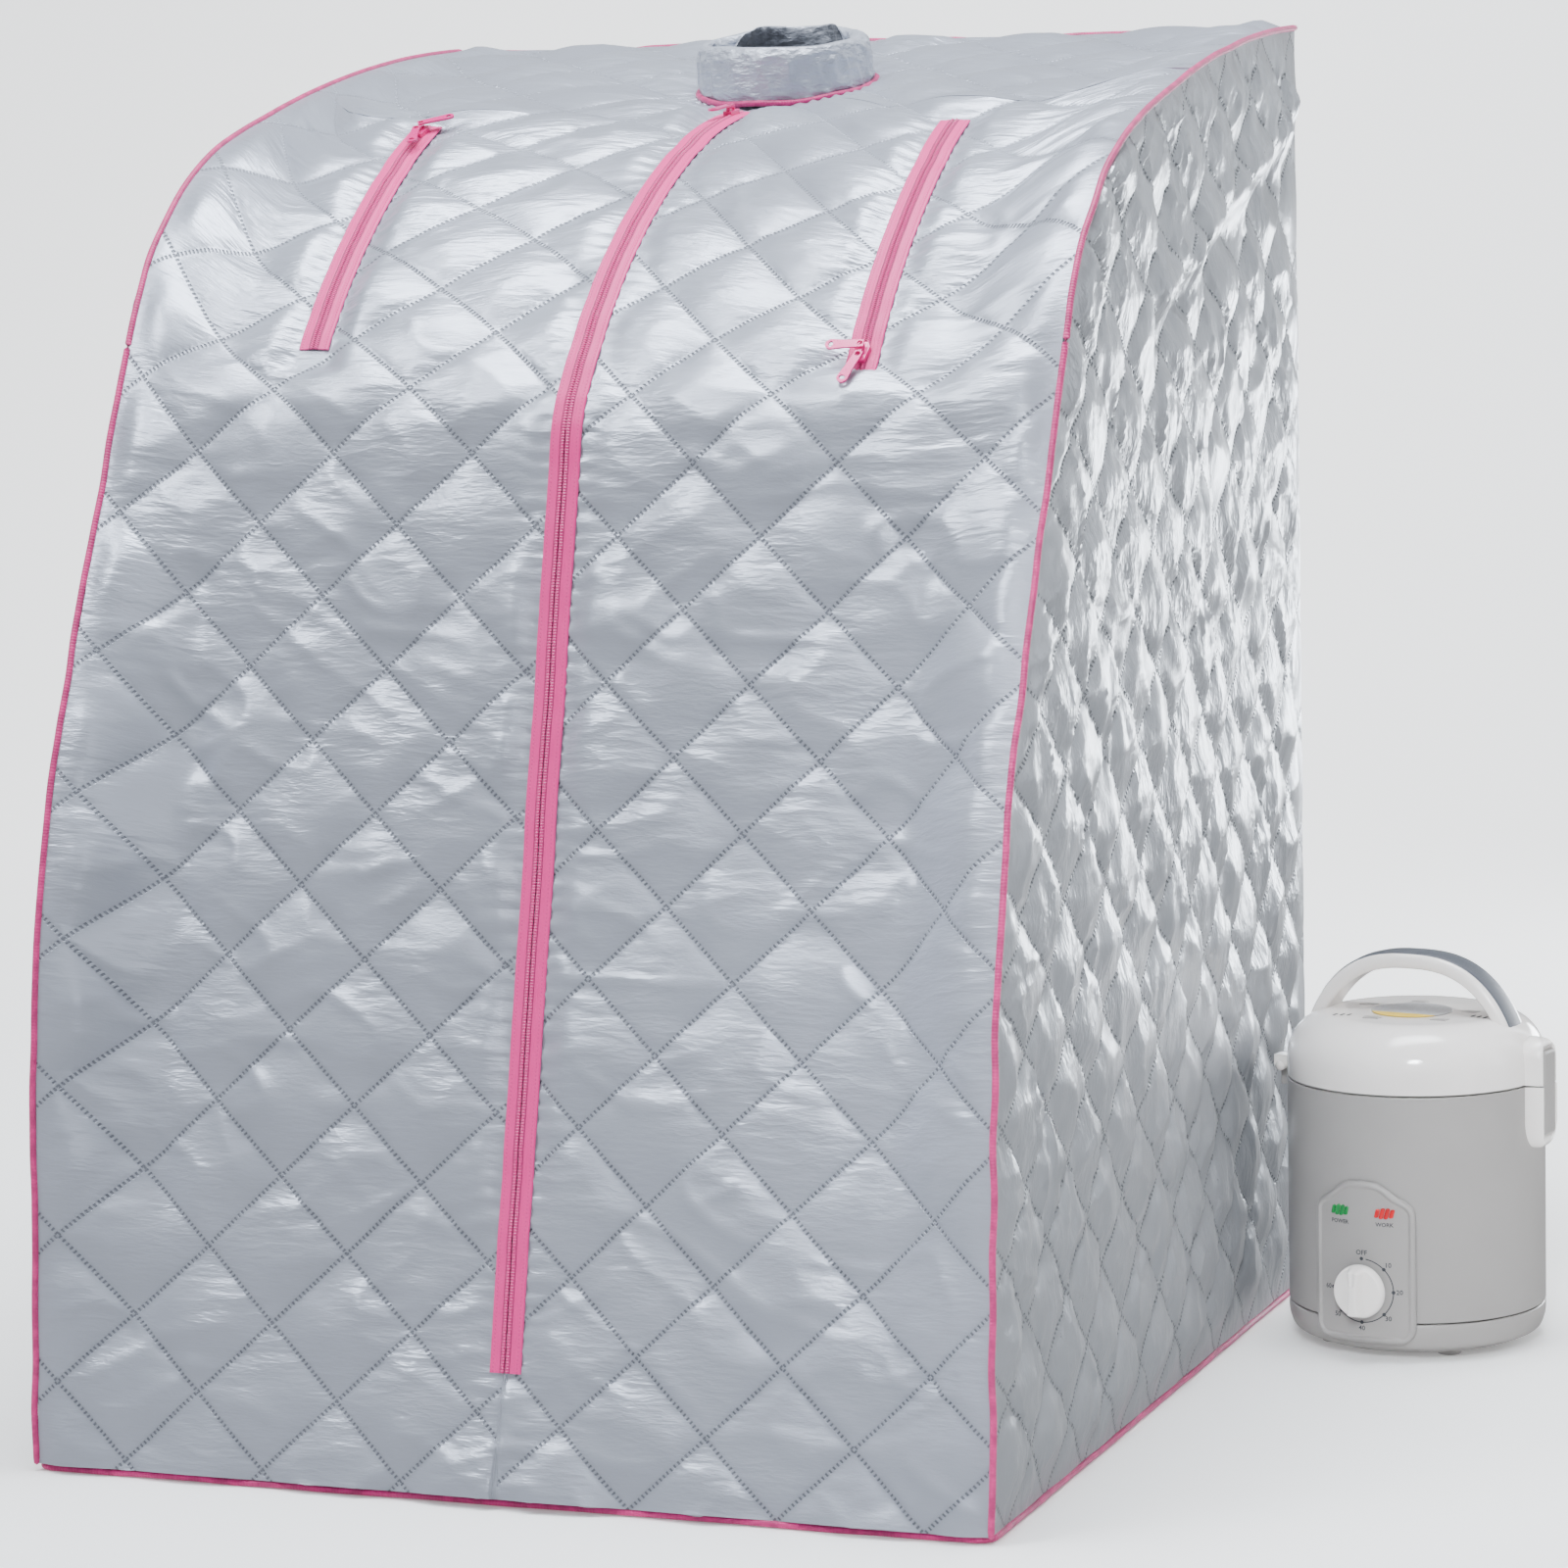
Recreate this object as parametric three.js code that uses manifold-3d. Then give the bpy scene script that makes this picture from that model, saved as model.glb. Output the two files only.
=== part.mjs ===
// A portable steam sauna: a quilted cloth cabinet for one seated person, held up by a light rod
// frame, and the electric steam generator that stands beside it.
// Units are millimetres and +Z is up. The origin is the middle of the cabinet's floor mat, where it
// lies on the ground. The cabinet's front, with its long zip, faces -Y, and +X is its right-hand side
// as seen from the front.
import * as THREE from "three";
import { mergeVertices } from "three/addons/utils/BufferGeometryUtils.js";
import Module from "manifold-3d";

const wasm = await Module();
wasm.setup();

// ---------------------------------------------------------------- driving dimensions
const GAP = 0.4; // air between pieces that touch
const DEGREE = Math.PI / 180;

const HALF_WIDTH = 350; // of the cabinet, out to its piping
const CLOTH = 8; // thickness of the quilted cloth
const HEM = 5.4; // height of the walls' lower edges, above the base piping
const PIPING_RADIUS = 2.5;

// The cabinet's outline from the side, from the front of the floor up, over and back.
const FRONT_Y = -397;
const REAR_Y = 397;
const DOOR_LEAN = 13.6; // degrees from upright, of the front between floor and lower shoulder rod
const DOOR_RISE = 742; // length of that straight stretch
const ZIP_ARC = { radius: 486, heading: 36, turn: 48 }; // over the shoulder, down the middle
const ARM_ARC = { radius: 533, heading: 34.3, turn: 35 }; // the same, at the arm zips
const ARM_X = 205; // distance of an arm zip from the middle
const FOLD_X = 260; // the doors fold along this line

const DOOR_BOTTOM = 86; // height of the hem strip below the doors
const DOOR_TOP = 706;
const NECK = { x: 6, y: 200, radius: 54, wall: 12, height: 45 };
const TAPE = { width: 23, thick: 1.4 };

const HOOP = { radius: 3, inset: 19, x: 334, corner: 26 };
const ROD_RADIUS = 6.5;
const SHOULDER_ROD_BOW = 36; // how far the taut cloth bends the upper shoulder rod down
const REAR_ROD_BOW = 12; // and the one at the rear of the top

const PORT = { x: 250, z: 120, radius: 24, flange: 35, thick: 3 }; // where the steam hose enters

const GENERATOR = { x: 472, y: 245, turn: -10.8 }; // where it stands, and which way it faces
const POT = { radius: 95.5, wall: 3, base: 29, seam: 198, top: 246, shoulder: 34 };
const INNER_POT = { radius: 84, wall: 1.6, floor: 80, rim: 195.5 };
const PANEL = { width: 80, bottom: 14, shoulder: 118, top: 138, relief: 4 };
const KNOB = { z: 53, radius: 20, base: 6, grip: 15 };

// ---------------------------------------------------------------- colours and finishes
const finish = (color, roughness, metalness = 0) =>
  new THREE.MeshStandardMaterial({ color, roughness, metalness });
const silverCloth = finish(0xb9bfc9, 0.42, 0.25);
const pinkTape = finish(0xe8508f, 0.55);
const pinkMetal = finish(0xe04a8a, 0.3, 0.2);
const steelWire = finish(0xc4c6c8, 0.35, 0.9);
const whiteTube = finish(0xe8e8e4, 0.5);
const whitePlastic = finish(0xf1f0ee, 0.2);
const greyPlastic = finish(0x6f727b, 0.55);
const aluminium = finish(0xcfd1d3, 0.35, 0.9);
const darkPlastic = finish(0x2b2b2e, 0.5);
const silicone = finish(0xdad7d0, 0.6);
const greenLamp = finish(0x1c9a4a, 0.3);
const redLamp = finish(0xd2202a, 0.3);
const labelFoil = finish(0xb9babd, 0.4, 0.3);

const sauna = new THREE.Group();
const generator = new THREE.Group();
generator.position.set(GENERATOR.x, GENERATOR.y, 0);
generator.rotation.z = GENERATOR.turn * DEGREE;
sauna.add(generator);

function add(name, geometry, material, parent = sauna) {
  const mesh = new THREE.Mesh(geometry, material);
  mesh.name = name;
  parent.add(mesh);
  return mesh;
}

// ---------------------------------------------------------------- solids: cut and join
function solid(geometry) {
  const bare = geometry.clone();
  bare.deleteAttribute("normal");
  bare.deleteAttribute("uv");
  const merged = mergeVertices(bare, 1e-4);
  return new wasm.Manifold(
    new wasm.Mesh({
      numProp: 3,
      vertProperties: merged.attributes.position.array,
      triVerts: new Uint32Array(merged.index.array),
    }),
  );
}

function geometryOf(made) {
  const mesh = made.getMesh();
  return new THREE.BufferGeometry()
    .setAttribute("position", new THREE.BufferAttribute(mesh.vertProperties, 3))
    .setIndex(new THREE.BufferAttribute(mesh.triVerts, 1));
}

const cut = (geometry, ...tools) =>
  geometryOf(tools.reduce((rest, tool) => rest.subtract(solid(tool)), solid(geometry)));
const join = (...pieces) =>
  geometryOf(pieces.map(solid).reduce((all, piece) => all.add(piece)));
const overlapOf = (one, other) => geometryOf(solid(one).intersect(solid(other)));

// ---------------------------------------------------------------- simple shapes
function box(x0, x1, y0, y1, z0, z1) {
  return new THREE.BoxGeometry(x1 - x0, y1 - y0, z1 - z0).translate(
    (x0 + x1) / 2,
    (y0 + y1) / 2,
    (z0 + z1) / 2,
  );
}

// A round bar or hole standing on the XY plane.
const upright = (radius, z0, z1, x = 0, y = 0, sides = 24) =>
  new THREE.CylinderGeometry(radius, radius, z1 - z0, sides)
    .rotateX(Math.PI / 2)
    .translate(x, y, (z0 + z1) / 2);

// A round bar or hole lying along X.
const alongX = (radius, x0, x1, y, z, sides = 12) =>
  new THREE.CylinderGeometry(radius, radius, x1 - x0, sides)
    .rotateZ(Math.PI / 2)
    .translate((x0 + x1) / 2, y, z);

// A round bar or hole lying along Y.
const alongY = (radius, y0, y1, x, z, sides = 16) =>
  new THREE.CylinderGeometry(radius, radius, y1 - y0, sides).translate(x, (y0 + y1) / 2, z);

// A profile in (radius, height) turned about +Z. It starts and ends on the axis or closes on itself.
function turned(profile, sides = 36) {
  const points = profile.map(([r, z]) => new THREE.Vector2(r, z));
  return new THREE.LatheGeometry(points, sides).rotateX(Math.PI / 2);
}

// A shape drawn in (y, z), pulled along X.
function pulledAlongX(shape, x0, x1, curveSegments = 8) {
  const toYZ = new THREE.Matrix4().makeBasis(
    new THREE.Vector3(0, 1, 0),
    new THREE.Vector3(0, 0, 1),
    new THREE.Vector3(1, 0, 0),
  );
  return new THREE.ExtrudeGeometry(shape, { depth: x1 - x0, bevelEnabled: false, curveSegments })
    .applyMatrix4(toYZ)
    .translate(x0, 0, 0);
}

// A shape drawn in (x, z), pulled towards -Y from y1 to y0.
function pulledAlongY(shape, y0, y1, curveSegments = 8) {
  return new THREE.ExtrudeGeometry(shape, { depth: y1 - y0, bevelEnabled: false, curveSegments })
    .rotateX(Math.PI / 2)
    .translate(0, y1, 0);
}

// A round rod along a curve.
function rod(curve, radius, steps, sides = 6) {
  const section = new THREE.Shape();
  for (let i = 0; i <= sides; i++) {
    const angle = (2 * Math.PI * i) / sides;
    section[i ? "lineTo" : "moveTo"](radius * Math.cos(angle), radius * Math.sin(angle));
  }
  return new THREE.ExtrudeGeometry(section, { steps, extrudePath: curve, curveSegments: 1 });
}

// A rounded rectangle, centred.
function roundedPlate(width, height, corner) {
  const x = width / 2 - corner;
  const y = height / 2 - corner;
  const shape = new THREE.Shape();
  shape.absarc(x, y, corner, 0, Math.PI / 2);
  shape.absarc(-x, y, corner, Math.PI / 2, Math.PI);
  shape.absarc(-x, -y, corner, Math.PI, 1.5 * Math.PI);
  shape.absarc(x, -y, corner, 1.5 * Math.PI, 2 * Math.PI);
  return shape;
}

// ---------------------------------------------------------------- the cabinet's outline
// Draws lines and arcs in (y, z). Its heading is the lean back from upright, in degrees, and its
// inner side, where the arcs' centres lie, is the inside of the cabinet.
class Outline {
  constructor(y, z, heading, inset = 0) {
    this.inset = inset;
    this.heading = heading;
    const [iy, iz] = this.inward();
    this.y = y + inset * iy;
    this.z = z + inset * iz;
    this.path = new THREE.Path().moveTo(this.y, this.z);
  }
  inward() {
    const a = this.heading * DEGREE;
    return [Math.cos(a), -Math.sin(a)];
  }
  line(length) {
    const a = this.heading * DEGREE;
    this.y += length * Math.sin(a);
    this.z += length * Math.cos(a);
    this.path.lineTo(this.y, this.z);
    return this;
  }
  arc(outerRadius, turn) {
    const radius = outerRadius - this.inset;
    const [iy, iz] = this.inward();
    const from = Math.PI - this.heading * DEGREE;
    const centre = [this.y + radius * iy, this.z + radius * iz];
    this.path.absarc(...centre, radius, from, from - turn * DEGREE, true);
    this.heading += turn;
    const [jy, jz] = this.inward();
    this.y = centre[0] - radius * jy;
    this.z = centre[1] - radius * jz;
    this.centre = centre;
    return this;
  }
  // Ends one section of the outline and starts the next.
  section() {
    const done = this.path;
    this.path = new THREE.Path().moveTo(this.y, this.z);
    return done;
  }
}

// At the side hoops the outline is one smooth bend, in three sections: the front up to the lower
// shoulder rod, the shoulder, and the top.
function sideOutline(inset = 0) {
  const o = new Outline(FRONT_Y, 0, 4, inset);
  const front = o.line(260.6).arc(800, 21.5).line(198).section();
  const shoulder = o.line(41).arc(270, 48.5).arc(1750, 5.1).section();
  const top = o.arc(1750, 9.1).section();
  return { sections: [front, shoulder, top], end: [o.y, o.z] };
}
const SIDE = sideOutline();
const [TOP_Y, TOP_Z] = SIDE.end;

// Between the hoops the cloth is stretched straight from the floor to the lower shoulder rod, and
// curves over the upper one.
function clothOutline(shoulderArc) {
  const o = new Outline(FRONT_Y, 0, DOOR_LEAN);
  const front = o.line(DOOR_RISE).section();
  o.heading = shoulderArc.heading;
  const shoulder = o.arc(shoulderArc.radius, shoulderArc.turn).section();
  const centre = o.centre;
  o.path.lineTo(TOP_Y, TOP_Z);
  return { sections: [front, shoulder, o.section()], centre };
}
const MIDDLE = clothOutline(ZIP_ARC);
const ARM = clothOutline(ARM_ARC);

const smooth = (t) => {
  const u = Math.min(1, Math.max(0, t));
  return u * u * (3 - 2 * u);
};

// A point of the cloth's outer face: x across, and t from 0 at the floor through 1 at the lower
// shoulder rod and 2 at the neck to 3 at the rear edge.
function skin(x, t) {
  const section = Math.min(2, Math.floor(t));
  const [middle, arm, side] = [MIDDLE, ARM, SIDE].map((o) =>
    o.sections[section].getPoint(t - section),
  );
  const cloth = middle.lerp(arm, smooth(Math.abs(x) / ARM_X));
  const edge = smooth((Math.abs(x) - FOLD_X) / (HALF_WIDTH - FOLD_X));
  return cloth.lerp(side, edge);
}

// The value of t at which the middle of the front has this height.
const frontAt = (z) => z / (DOOR_RISE * Math.cos(DOOR_LEAN * DEGREE));

// A quilted panel: the skin over a grid of x and t, thickened inwards.
function panel(xs, ts) {
  const rows = ts.length;
  const outer = [];
  const inner = [];
  for (const x of xs) {
    ts.forEach((t) => {
      const p = skin(x, t);
      const before = skin(x, Math.max(Math.floor(t - 1e-9), t - 0.02));
      const after = skin(x, Math.min(3, t + (t < 3 ? 0.02 : 0)));
      const along = after.clone().sub(before).normalize();
      outer.push([x, p.x, p.y]);
      inner.push([x, p.x + CLOTH * along.y, p.y - CLOTH * along.x]);
    });
  }
  const count = outer.length;
  const index = [];
  const quad = (a, b, c, d) => index.push(a, b, c, a, c, d);
  for (let i = 0; i + 1 < xs.length; i++) {
    for (let j = 0; j + 1 < rows; j++) {
      const a = i * rows + j;
      quad(a, a + rows, a + rows + 1, a + 1);
      quad(count + a, count + a + 1, count + a + rows + 1, count + a + rows);
    }
    const low = i * rows;
    const high = low + rows - 1;
    quad(low, count + low, count + low + rows, low + rows);
    quad(high, high + rows, count + high + rows, count + high);
  }
  const last = (xs.length - 1) * rows;
  for (let j = 0; j + 1 < rows; j++) {
    quad(j, j + 1, count + j + 1, count + j);
    quad(last + j, count + last + j, count + last + j + 1, last + j + 1);
  }
  return new THREE.BufferGeometry()
    .setAttribute("position", new THREE.Float32BufferAttribute([...outer, ...inner].flat(), 3))
    .setIndex(index);
}

const steps = (from, to, count) =>
  Array.from({ length: count + 1 }, (_, i) => from + ((to - from) * i) / count);

// ---------------------------------------------------------------- cabinet: quilted walls
const WALL_X = 341; // inner face of a side wall
const EDGE_X = WALL_X - 0.6; // edge of the front and top panels
const EDGE_COLUMNS = [EDGE_X, 322, 304, 284, FOLD_X + 1];

function sideWall(name, direction) {
  const inset = PIPING_RADIUS + 0.6;
  const shape = new THREE.Shape();
  const { sections } = sideOutline(inset);
  const points = sections.flatMap((s, i) => s.getSpacedPoints([14, 16, 6][i]).slice(i ? 1 : 0));
  const rear = REAR_Y - 0.2;
  const above = points.filter((p) => p.y > HEM && p.x < rear);
  shape.moveTo(rear, HEM);
  shape.lineTo(above[0].x - 0.3, HEM);
  above.forEach((p) => shape.lineTo(p.x, p.y));
  shape.lineTo(rear, above.at(-1).y);
  const [x0, x1] = direction > 0 ? [WALL_X, WALL_X + CLOTH] : [-WALL_X - CLOTH, -WALL_X];
  add(name, pulledAlongX(shape, x0, x1), silverCloth);
}
sideWall("side_panel_left", -1);
sideWall("side_panel_right", 1);

add("floor_mat", box(-WALL_X + 1, WALL_X - 1, FRONT_Y + 16, REAR_Y - 12, 0, 4), silverCloth);

const rearWall = box(-EDGE_X, EDGE_X, REAR_Y - CLOTH, REAR_Y, HEM, TOP_Z - 12);
const portHole = alongY(PORT.radius + 1, REAR_Y - 20, REAR_Y + 5, PORT.x, PORT.z, 24);
add("back_panel", cut(rearWall, portHole), silverCloth);

const doorRows = [frontAt(DOOR_BOTTOM + 1), 0.35, 0.5, 0.62, 0.74, 0.86, frontAt(DOOR_TOP)];
const hemColumns = [...EDGE_COLUMNS.map((x) => -x), ...EDGE_COLUMNS.toReversed()];
add("front_hem_panel", panel(hemColumns, [frontAt(HEM), frontAt(DOOR_BOTTOM)]), silverCloth);
add("front_band_right", panel(EDGE_COLUMNS.toReversed(), doorRows), silverCloth);
add("front_band_left", panel(EDGE_COLUMNS.map((x) => -x), doorRows), silverCloth);

const doorEnds = [frontAt(DOOR_BOTTOM + 1), frontAt(DOOR_TOP)];
add("door_right", panel([1.2, FOLD_X - 0.6], doorEnds), silverCloth);
add("door_left", panel([-FOLD_X + 0.6, -1.2], doorEnds), silverCloth);

const half = [0, 50, 100, 150, ARM_X, ...EDGE_COLUMNS.toReversed()];
const across = [...half.slice(1).map((x) => -x).toReversed(), ...half];
const shoulderRows = [frontAt(DOOR_TOP + 1), ...steps(1, 2, 9)];
add("shoulder_panel", panel(across, shoulderRows), silverCloth);

// The top slopes down to the front, and the neck's axis stands square to it.
const neckSlope = Math.atan2(TOP_Z - skin(0, 2).y, TOP_Y - skin(0, 2).x);
const neckZ = skin(0, 2).y + (NECK.y - skin(0, 2).x) * Math.tan(neckSlope);
const onNeck = (geometry) => geometry.rotateX(neckSlope).translate(NECK.x, NECK.y, neckZ);
const neckHole = onNeck(upright(NECK.radius, -40, 40, 0, 0, 32));
const topRows = [2.004, 2.25, 2.5, 2.75, 2.985];
add("top_panel", cut(panel(across, topRows), neckHole), silverCloth);

// ---------------------------------------------------------------- cabinet: padded neck collar
// Half a ring between two angles, standing on the top panel.
function collarHalf(from, to) {
  const inner = NECK.radius + 0.5;
  const outer = inner + NECK.wall;
  const shape = new THREE.Shape();
  shape.absarc(0, 0, outer, from * DEGREE, to * DEGREE);
  shape.absarc(0, 0, inner, to * DEGREE, from * DEGREE, true);
  const options = { depth: NECK.height, bevelEnabled: false, curveSegments: 16 };
  return onNeck(new THREE.ExtrudeGeometry(shape, options).translate(0, 0, GAP));
}
const lowered = new THREE.Matrix4().makeTranslation(0, 0, GAP);
const topSkin = panel([-120, -60, 0, 60, 120], [1.8, 2, 2.004, 2.5, 2.985]).applyMatrix4(lowered);
add("neck_collar", cut(collarHalf(2, 182), topSkin), silverCloth);
add("collar_flap", cut(collarHalf(184, 360), topSkin), silverCloth);

// ---------------------------------------------------------------- cabinet: piping
// A curve in the plane x = constant, from sections of the outline.
class OutlineCurve extends THREE.Curve {
  constructor(x, paths) {
    super();
    this.x = x;
    this.whole = new THREE.CurvePath();
    paths.forEach((path) => path.curves.forEach((curve) => this.whole.add(curve)));
  }
  getPoint(t, target = new THREE.Vector3()) {
    const p = this.whole.getPoint(t);
    return target.set(this.x, p.x, p.y);
  }
}

function pipedEdge(name, x) {
  const lift = HEM / Math.cos(4 * DEGREE);
  const o = new Outline(FRONT_Y + HEM * Math.tan(4 * DEGREE), HEM, 4);
  o.line(260.6 - lift).arc(800, 21.5).line(239).arc(270, 48.5).arc(1750, 14.1);
  add(name, rod(new OutlineCurve(x, [o.path]), PIPING_RADIUS, 44), pinkTape);
}
pipedEdge("piping_left", -HALF_WIDTH + PIPING_RADIUS);
pipedEdge("piping_right", HALF_WIDTH - PIPING_RADIUS);

const rearPiping = alongX(PIPING_RADIUS, -WALL_X + 0.6, WALL_X - 0.6, TOP_Y - 1, TOP_Z - 4, 8);
add("piping_rear_top", rearPiping, pinkTape);

// The base piping runs once round under the walls' lower edges and meets itself at the rear.
function basePiping() {
  const x = HALF_WIDTH - PIPING_RADIUS - 1;
  const front = FRONT_Y + PIPING_RADIUS;
  const rear = REAR_Y - PIPING_RADIUS;
  const corner = 8;
  const z = PIPING_RADIUS + 0.1;
  const loop = new THREE.Path().moveTo(0.4, rear);
  loop.lineTo(x - corner, rear);
  loop.absarc(x - corner, rear - corner, corner, Math.PI / 2, 0, true);
  loop.absarc(x - corner, front + corner, corner, 0, -Math.PI / 2, true);
  loop.absarc(-x + corner, front + corner, corner, -Math.PI / 2, -Math.PI, true);
  loop.absarc(-x + corner, rear - corner, corner, Math.PI, Math.PI / 2, true);
  loop.lineTo(-0.4, rear);
  const points = loop.getPoints(3).map((p) => new THREE.Vector3(p.x, p.y, z));
  const unique = points.filter((p, i) => !i || p.distanceTo(points[i - 1]) > 0.5);
  const path = new THREE.CurvePath();
  unique.slice(1).forEach((p, i) => path.add(new THREE.LineCurve3(unique[i], p)));
  return rod(path, PIPING_RADIUS, 120, 6);
}
add("piping_base", basePiping(), pinkTape);

// ---------------------------------------------------------------- cabinet: rod frame
// A spring-steel hoop holds each side wall in shape. Its ends meet in the middle of the floor side.
function hoopOutline() {
  const o = new Outline(FRONT_Y, 0, 4, HOOP.inset);
  const bend = HOOP.inset + HOOP.corner;
  o.line(bend).section();
  o.line(260.6 - bend).arc(800, 21.5).line(239).arc(270, 48.5).arc(1750, 12.4);
  const start = new THREE.Vector2(o.path.curves[0].v1.x, o.path.curves[0].v1.y);
  const rear = REAR_Y - HOOP.inset;
  const floor = HOOP.inset;
  o.path.quadraticCurveTo(rear, o.z + 1, rear, o.z - HOOP.corner);
  o.path.lineTo(rear, floor + HOOP.corner);
  o.path.absarc(rear - HOOP.corner, floor + HOOP.corner, HOOP.corner, 0, -Math.PI / 2, true);
  o.path.lineTo(0.6, floor);
  return { path: o.path, start, floor };
}

function hoop(name, x) {
  const { path, start, floor } = hoopOutline();
  const lead = new THREE.Path().moveTo(-0.6, floor);
  lead.lineTo(start.x + HOOP.corner, floor);
  lead.quadraticCurveTo(start.x - 2, floor, start.x, start.y);
  add(name, rod(new OutlineCurve(x, [lead, path]), HOOP.radius, 76), steelWire);
}
hoop("hoop_left", -HOOP.x);
hoop("hoop_right", HOOP.x);

// A cross rod spreads the hoops. Each end carries a moulded clip that the hoop passes through.
function crossRod(name, y, z, heading, bow = 0) {
  const end = HOOP.x - 2;
  const a = heading * DEGREE;
  const [ry, rz] = [y + 1.6 * Math.cos(a), z - 1.6 * Math.sin(a)];
  const centre = new THREE.QuadraticBezierCurve3(
    new THREE.Vector3(-end, ry, rz),
    new THREE.Vector3(0, ry, rz - 2 * bow),
    new THREE.Vector3(end, ry, rz),
  );
  const straight = new THREE.LineCurve3(centre.v0, centre.v2);
  const tube = rod(bow ? centre : straight, ROD_RADIUS, bow ? 16 : 1, 12);
  const place = (geometry, x) => geometry.rotateX(-a).translate(x, y, z);
  const clips = [-1, 1].map((side) => place(box(-6.4, 6.4, -4.8, 8.2, -10, 10), side * HOOP.x));
  const holes = [-1, 1].map((side) => place(upright(HOOP.radius + 0.8, -20, 20), side * HOOP.x));
  add(name, cut(join(tube, ...clips), ...holes), whiteTube);
}

// The hoop's point and heading at a share of the way along one section.
function hoopPoint(section, share) {
  const path = sideOutline(HOOP.inset).sections[section];
  const p = path.getPoint(share);
  const d = path.getTangent(share);
  return [p.x, p.y, Math.atan2(d.x, d.y) / DEGREE];
}
crossRod("rod_lower_shoulder", ...hoopPoint(0, 0.985));
crossRod("rod_upper_shoulder", ...hoopPoint(1, 0.64), SHOULDER_ROD_BOW);
crossRod("rod_rear_top", ...hoopPoint(2, 0.74), REAR_ROD_BOW);
crossRod("rod_front_floor", FRONT_Y + 72, HOOP.inset, 90);
crossRod("rod_rear_floor", REAR_Y - 72, HOOP.inset, 90);

// ---------------------------------------------------------------- cabinet: zips
// A strip of tape that follows a shoulder arc, between two angles counted from the arc's start.
function arcTape(outline, arc, x, width, from, to) {
  const inner = arc.radius + GAP;
  const outer = inner + TAPE.thick;
  const angle = (turn) => Math.PI - (arc.heading + turn) * DEGREE;
  const shape = new THREE.Shape();
  shape.absarc(...outline.centre, outer, angle(from), angle(to), true);
  shape.absarc(...outline.centre, inner, angle(to), angle(from), false);
  return pulledAlongX(shape, x - width / 2, x + width / 2, 10);
}
add("main_zip_upper", arcTape(MIDDLE, ZIP_ARC, 0, TAPE.width, 0.9, 47.4), pinkTape);
// The left arm zip is sewn in a little higher than the right one.
for (const [side, x, from, to] of [["left", -ARM_X, 5.4, 33], ["right", ARM_X, 3, 32]]) {
  add(`arm_zip_${side}`, arcTape(ARM, ARM_ARC, x, TAPE.width, from, to), pinkTape);
}

// The main zip's lower part lies on the doors' free edges, half on each.
function doorTape(name, x0, x1) {
  const low = skin(0, doorEnds[0]);
  const high = skin(0, doorEnds[1]);
  const [ny, nz] = [-Math.cos(DOOR_LEAN * DEGREE), Math.sin(DOOR_LEAN * DEGREE)];
  const shape = new THREE.Shape();
  const lift = (p, d) => [p.x + d * ny, p.y + d * nz];
  shape.moveTo(...lift(low, GAP));
  shape.lineTo(...lift(high, GAP));
  shape.lineTo(...lift(high, GAP + TAPE.thick));
  shape.lineTo(...lift(low, GAP + TAPE.thick));
  add(name, pulledAlongX(shape, x0, x1), pinkTape);
}
doorTape("main_zip_left", -TAPE.width / 2, -GAP);
doorTape("main_zip_right", GAP, TAPE.width / 2);

// A zip slider with its pull tabs, standing on a tape's arc. In its own frame +Z points away from
// the cloth and +Y up along the zip.
const SLIDER = { width: 11, length: 15, height: 6.5, bridge: 1.4 };
const PULL = { width: 8, length: 25, thick: 1.4, hole: 2.2 };

function sliderGeometry() {
  const plate = new THREE.Shape();
  const [w, l] = [SLIDER.width / 2, SLIDER.length / 2];
  plate.moveTo(-w * 0.6, -l);
  plate.lineTo(w * 0.6, -l);
  plate.lineTo(w, l * 0.5);
  plate.lineTo(w * 0.7, l);
  plate.lineTo(-w * 0.7, l);
  plate.lineTo(-w, l * 0.5);
  const body = new THREE.ExtrudeGeometry(plate, { depth: 3.6, bevelEnabled: false });
  const bridge = box(-SLIDER.bridge, SLIDER.bridge, -5.6, 5.6, 3, SLIDER.height);
  const gap = box(-5, 5, -4.2, 4.2, 3.6, SLIDER.height - 1.4);
  return cut(join(body, bridge), gap);
}

// A pull tab lies along -Y from the slider's bridge, and its eye passes over the bridge's arch.
function pullGeometry() {
  const tab = new THREE.Shape();
  const w = PULL.width / 2;
  tab.moveTo(-w * 0.7, 2.2);
  tab.lineTo(-w * 0.8, -PULL.length * 0.5);
  tab.lineTo(-w, -PULL.length + w);
  tab.absarc(0, -PULL.length + w, w, Math.PI, 2 * Math.PI);
  tab.lineTo(w * 0.8, -PULL.length * 0.5);
  tab.lineTo(w * 0.7, 2.2);
  const eye = new THREE.Path();
  eye.absarc(0, -0.4, SLIDER.bridge + 0.6, 0, 2 * Math.PI, true);
  const slot = new THREE.Path();
  slot.absellipse(0, -PULL.length + w, PULL.hole * 1.1, PULL.hole * 0.8, 0, 2 * Math.PI, true, 0);
  tab.holes.push(eye, slot);
  const options = { depth: PULL.thick, bevelEnabled: false, curveSegments: 5 };
  return new THREE.ExtrudeGeometry(tab, options);
}

// Puts a group on an outline's shoulder arc, at an angle counted from the arc's start.
function onArc(outline, arc, x, turn) {
  const heading = (arc.heading + turn) * DEGREE;
  const radius = arc.radius + GAP + TAPE.thick + GAP;
  const group = new THREE.Group();
  group.position.set(
    x,
    outline.centre[0] - radius * Math.cos(heading),
    outline.centre[1] + radius * Math.sin(heading),
  );
  group.rotation.x = Math.PI / 2 - heading;
  sauna.add(group);
  return group;
}

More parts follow.
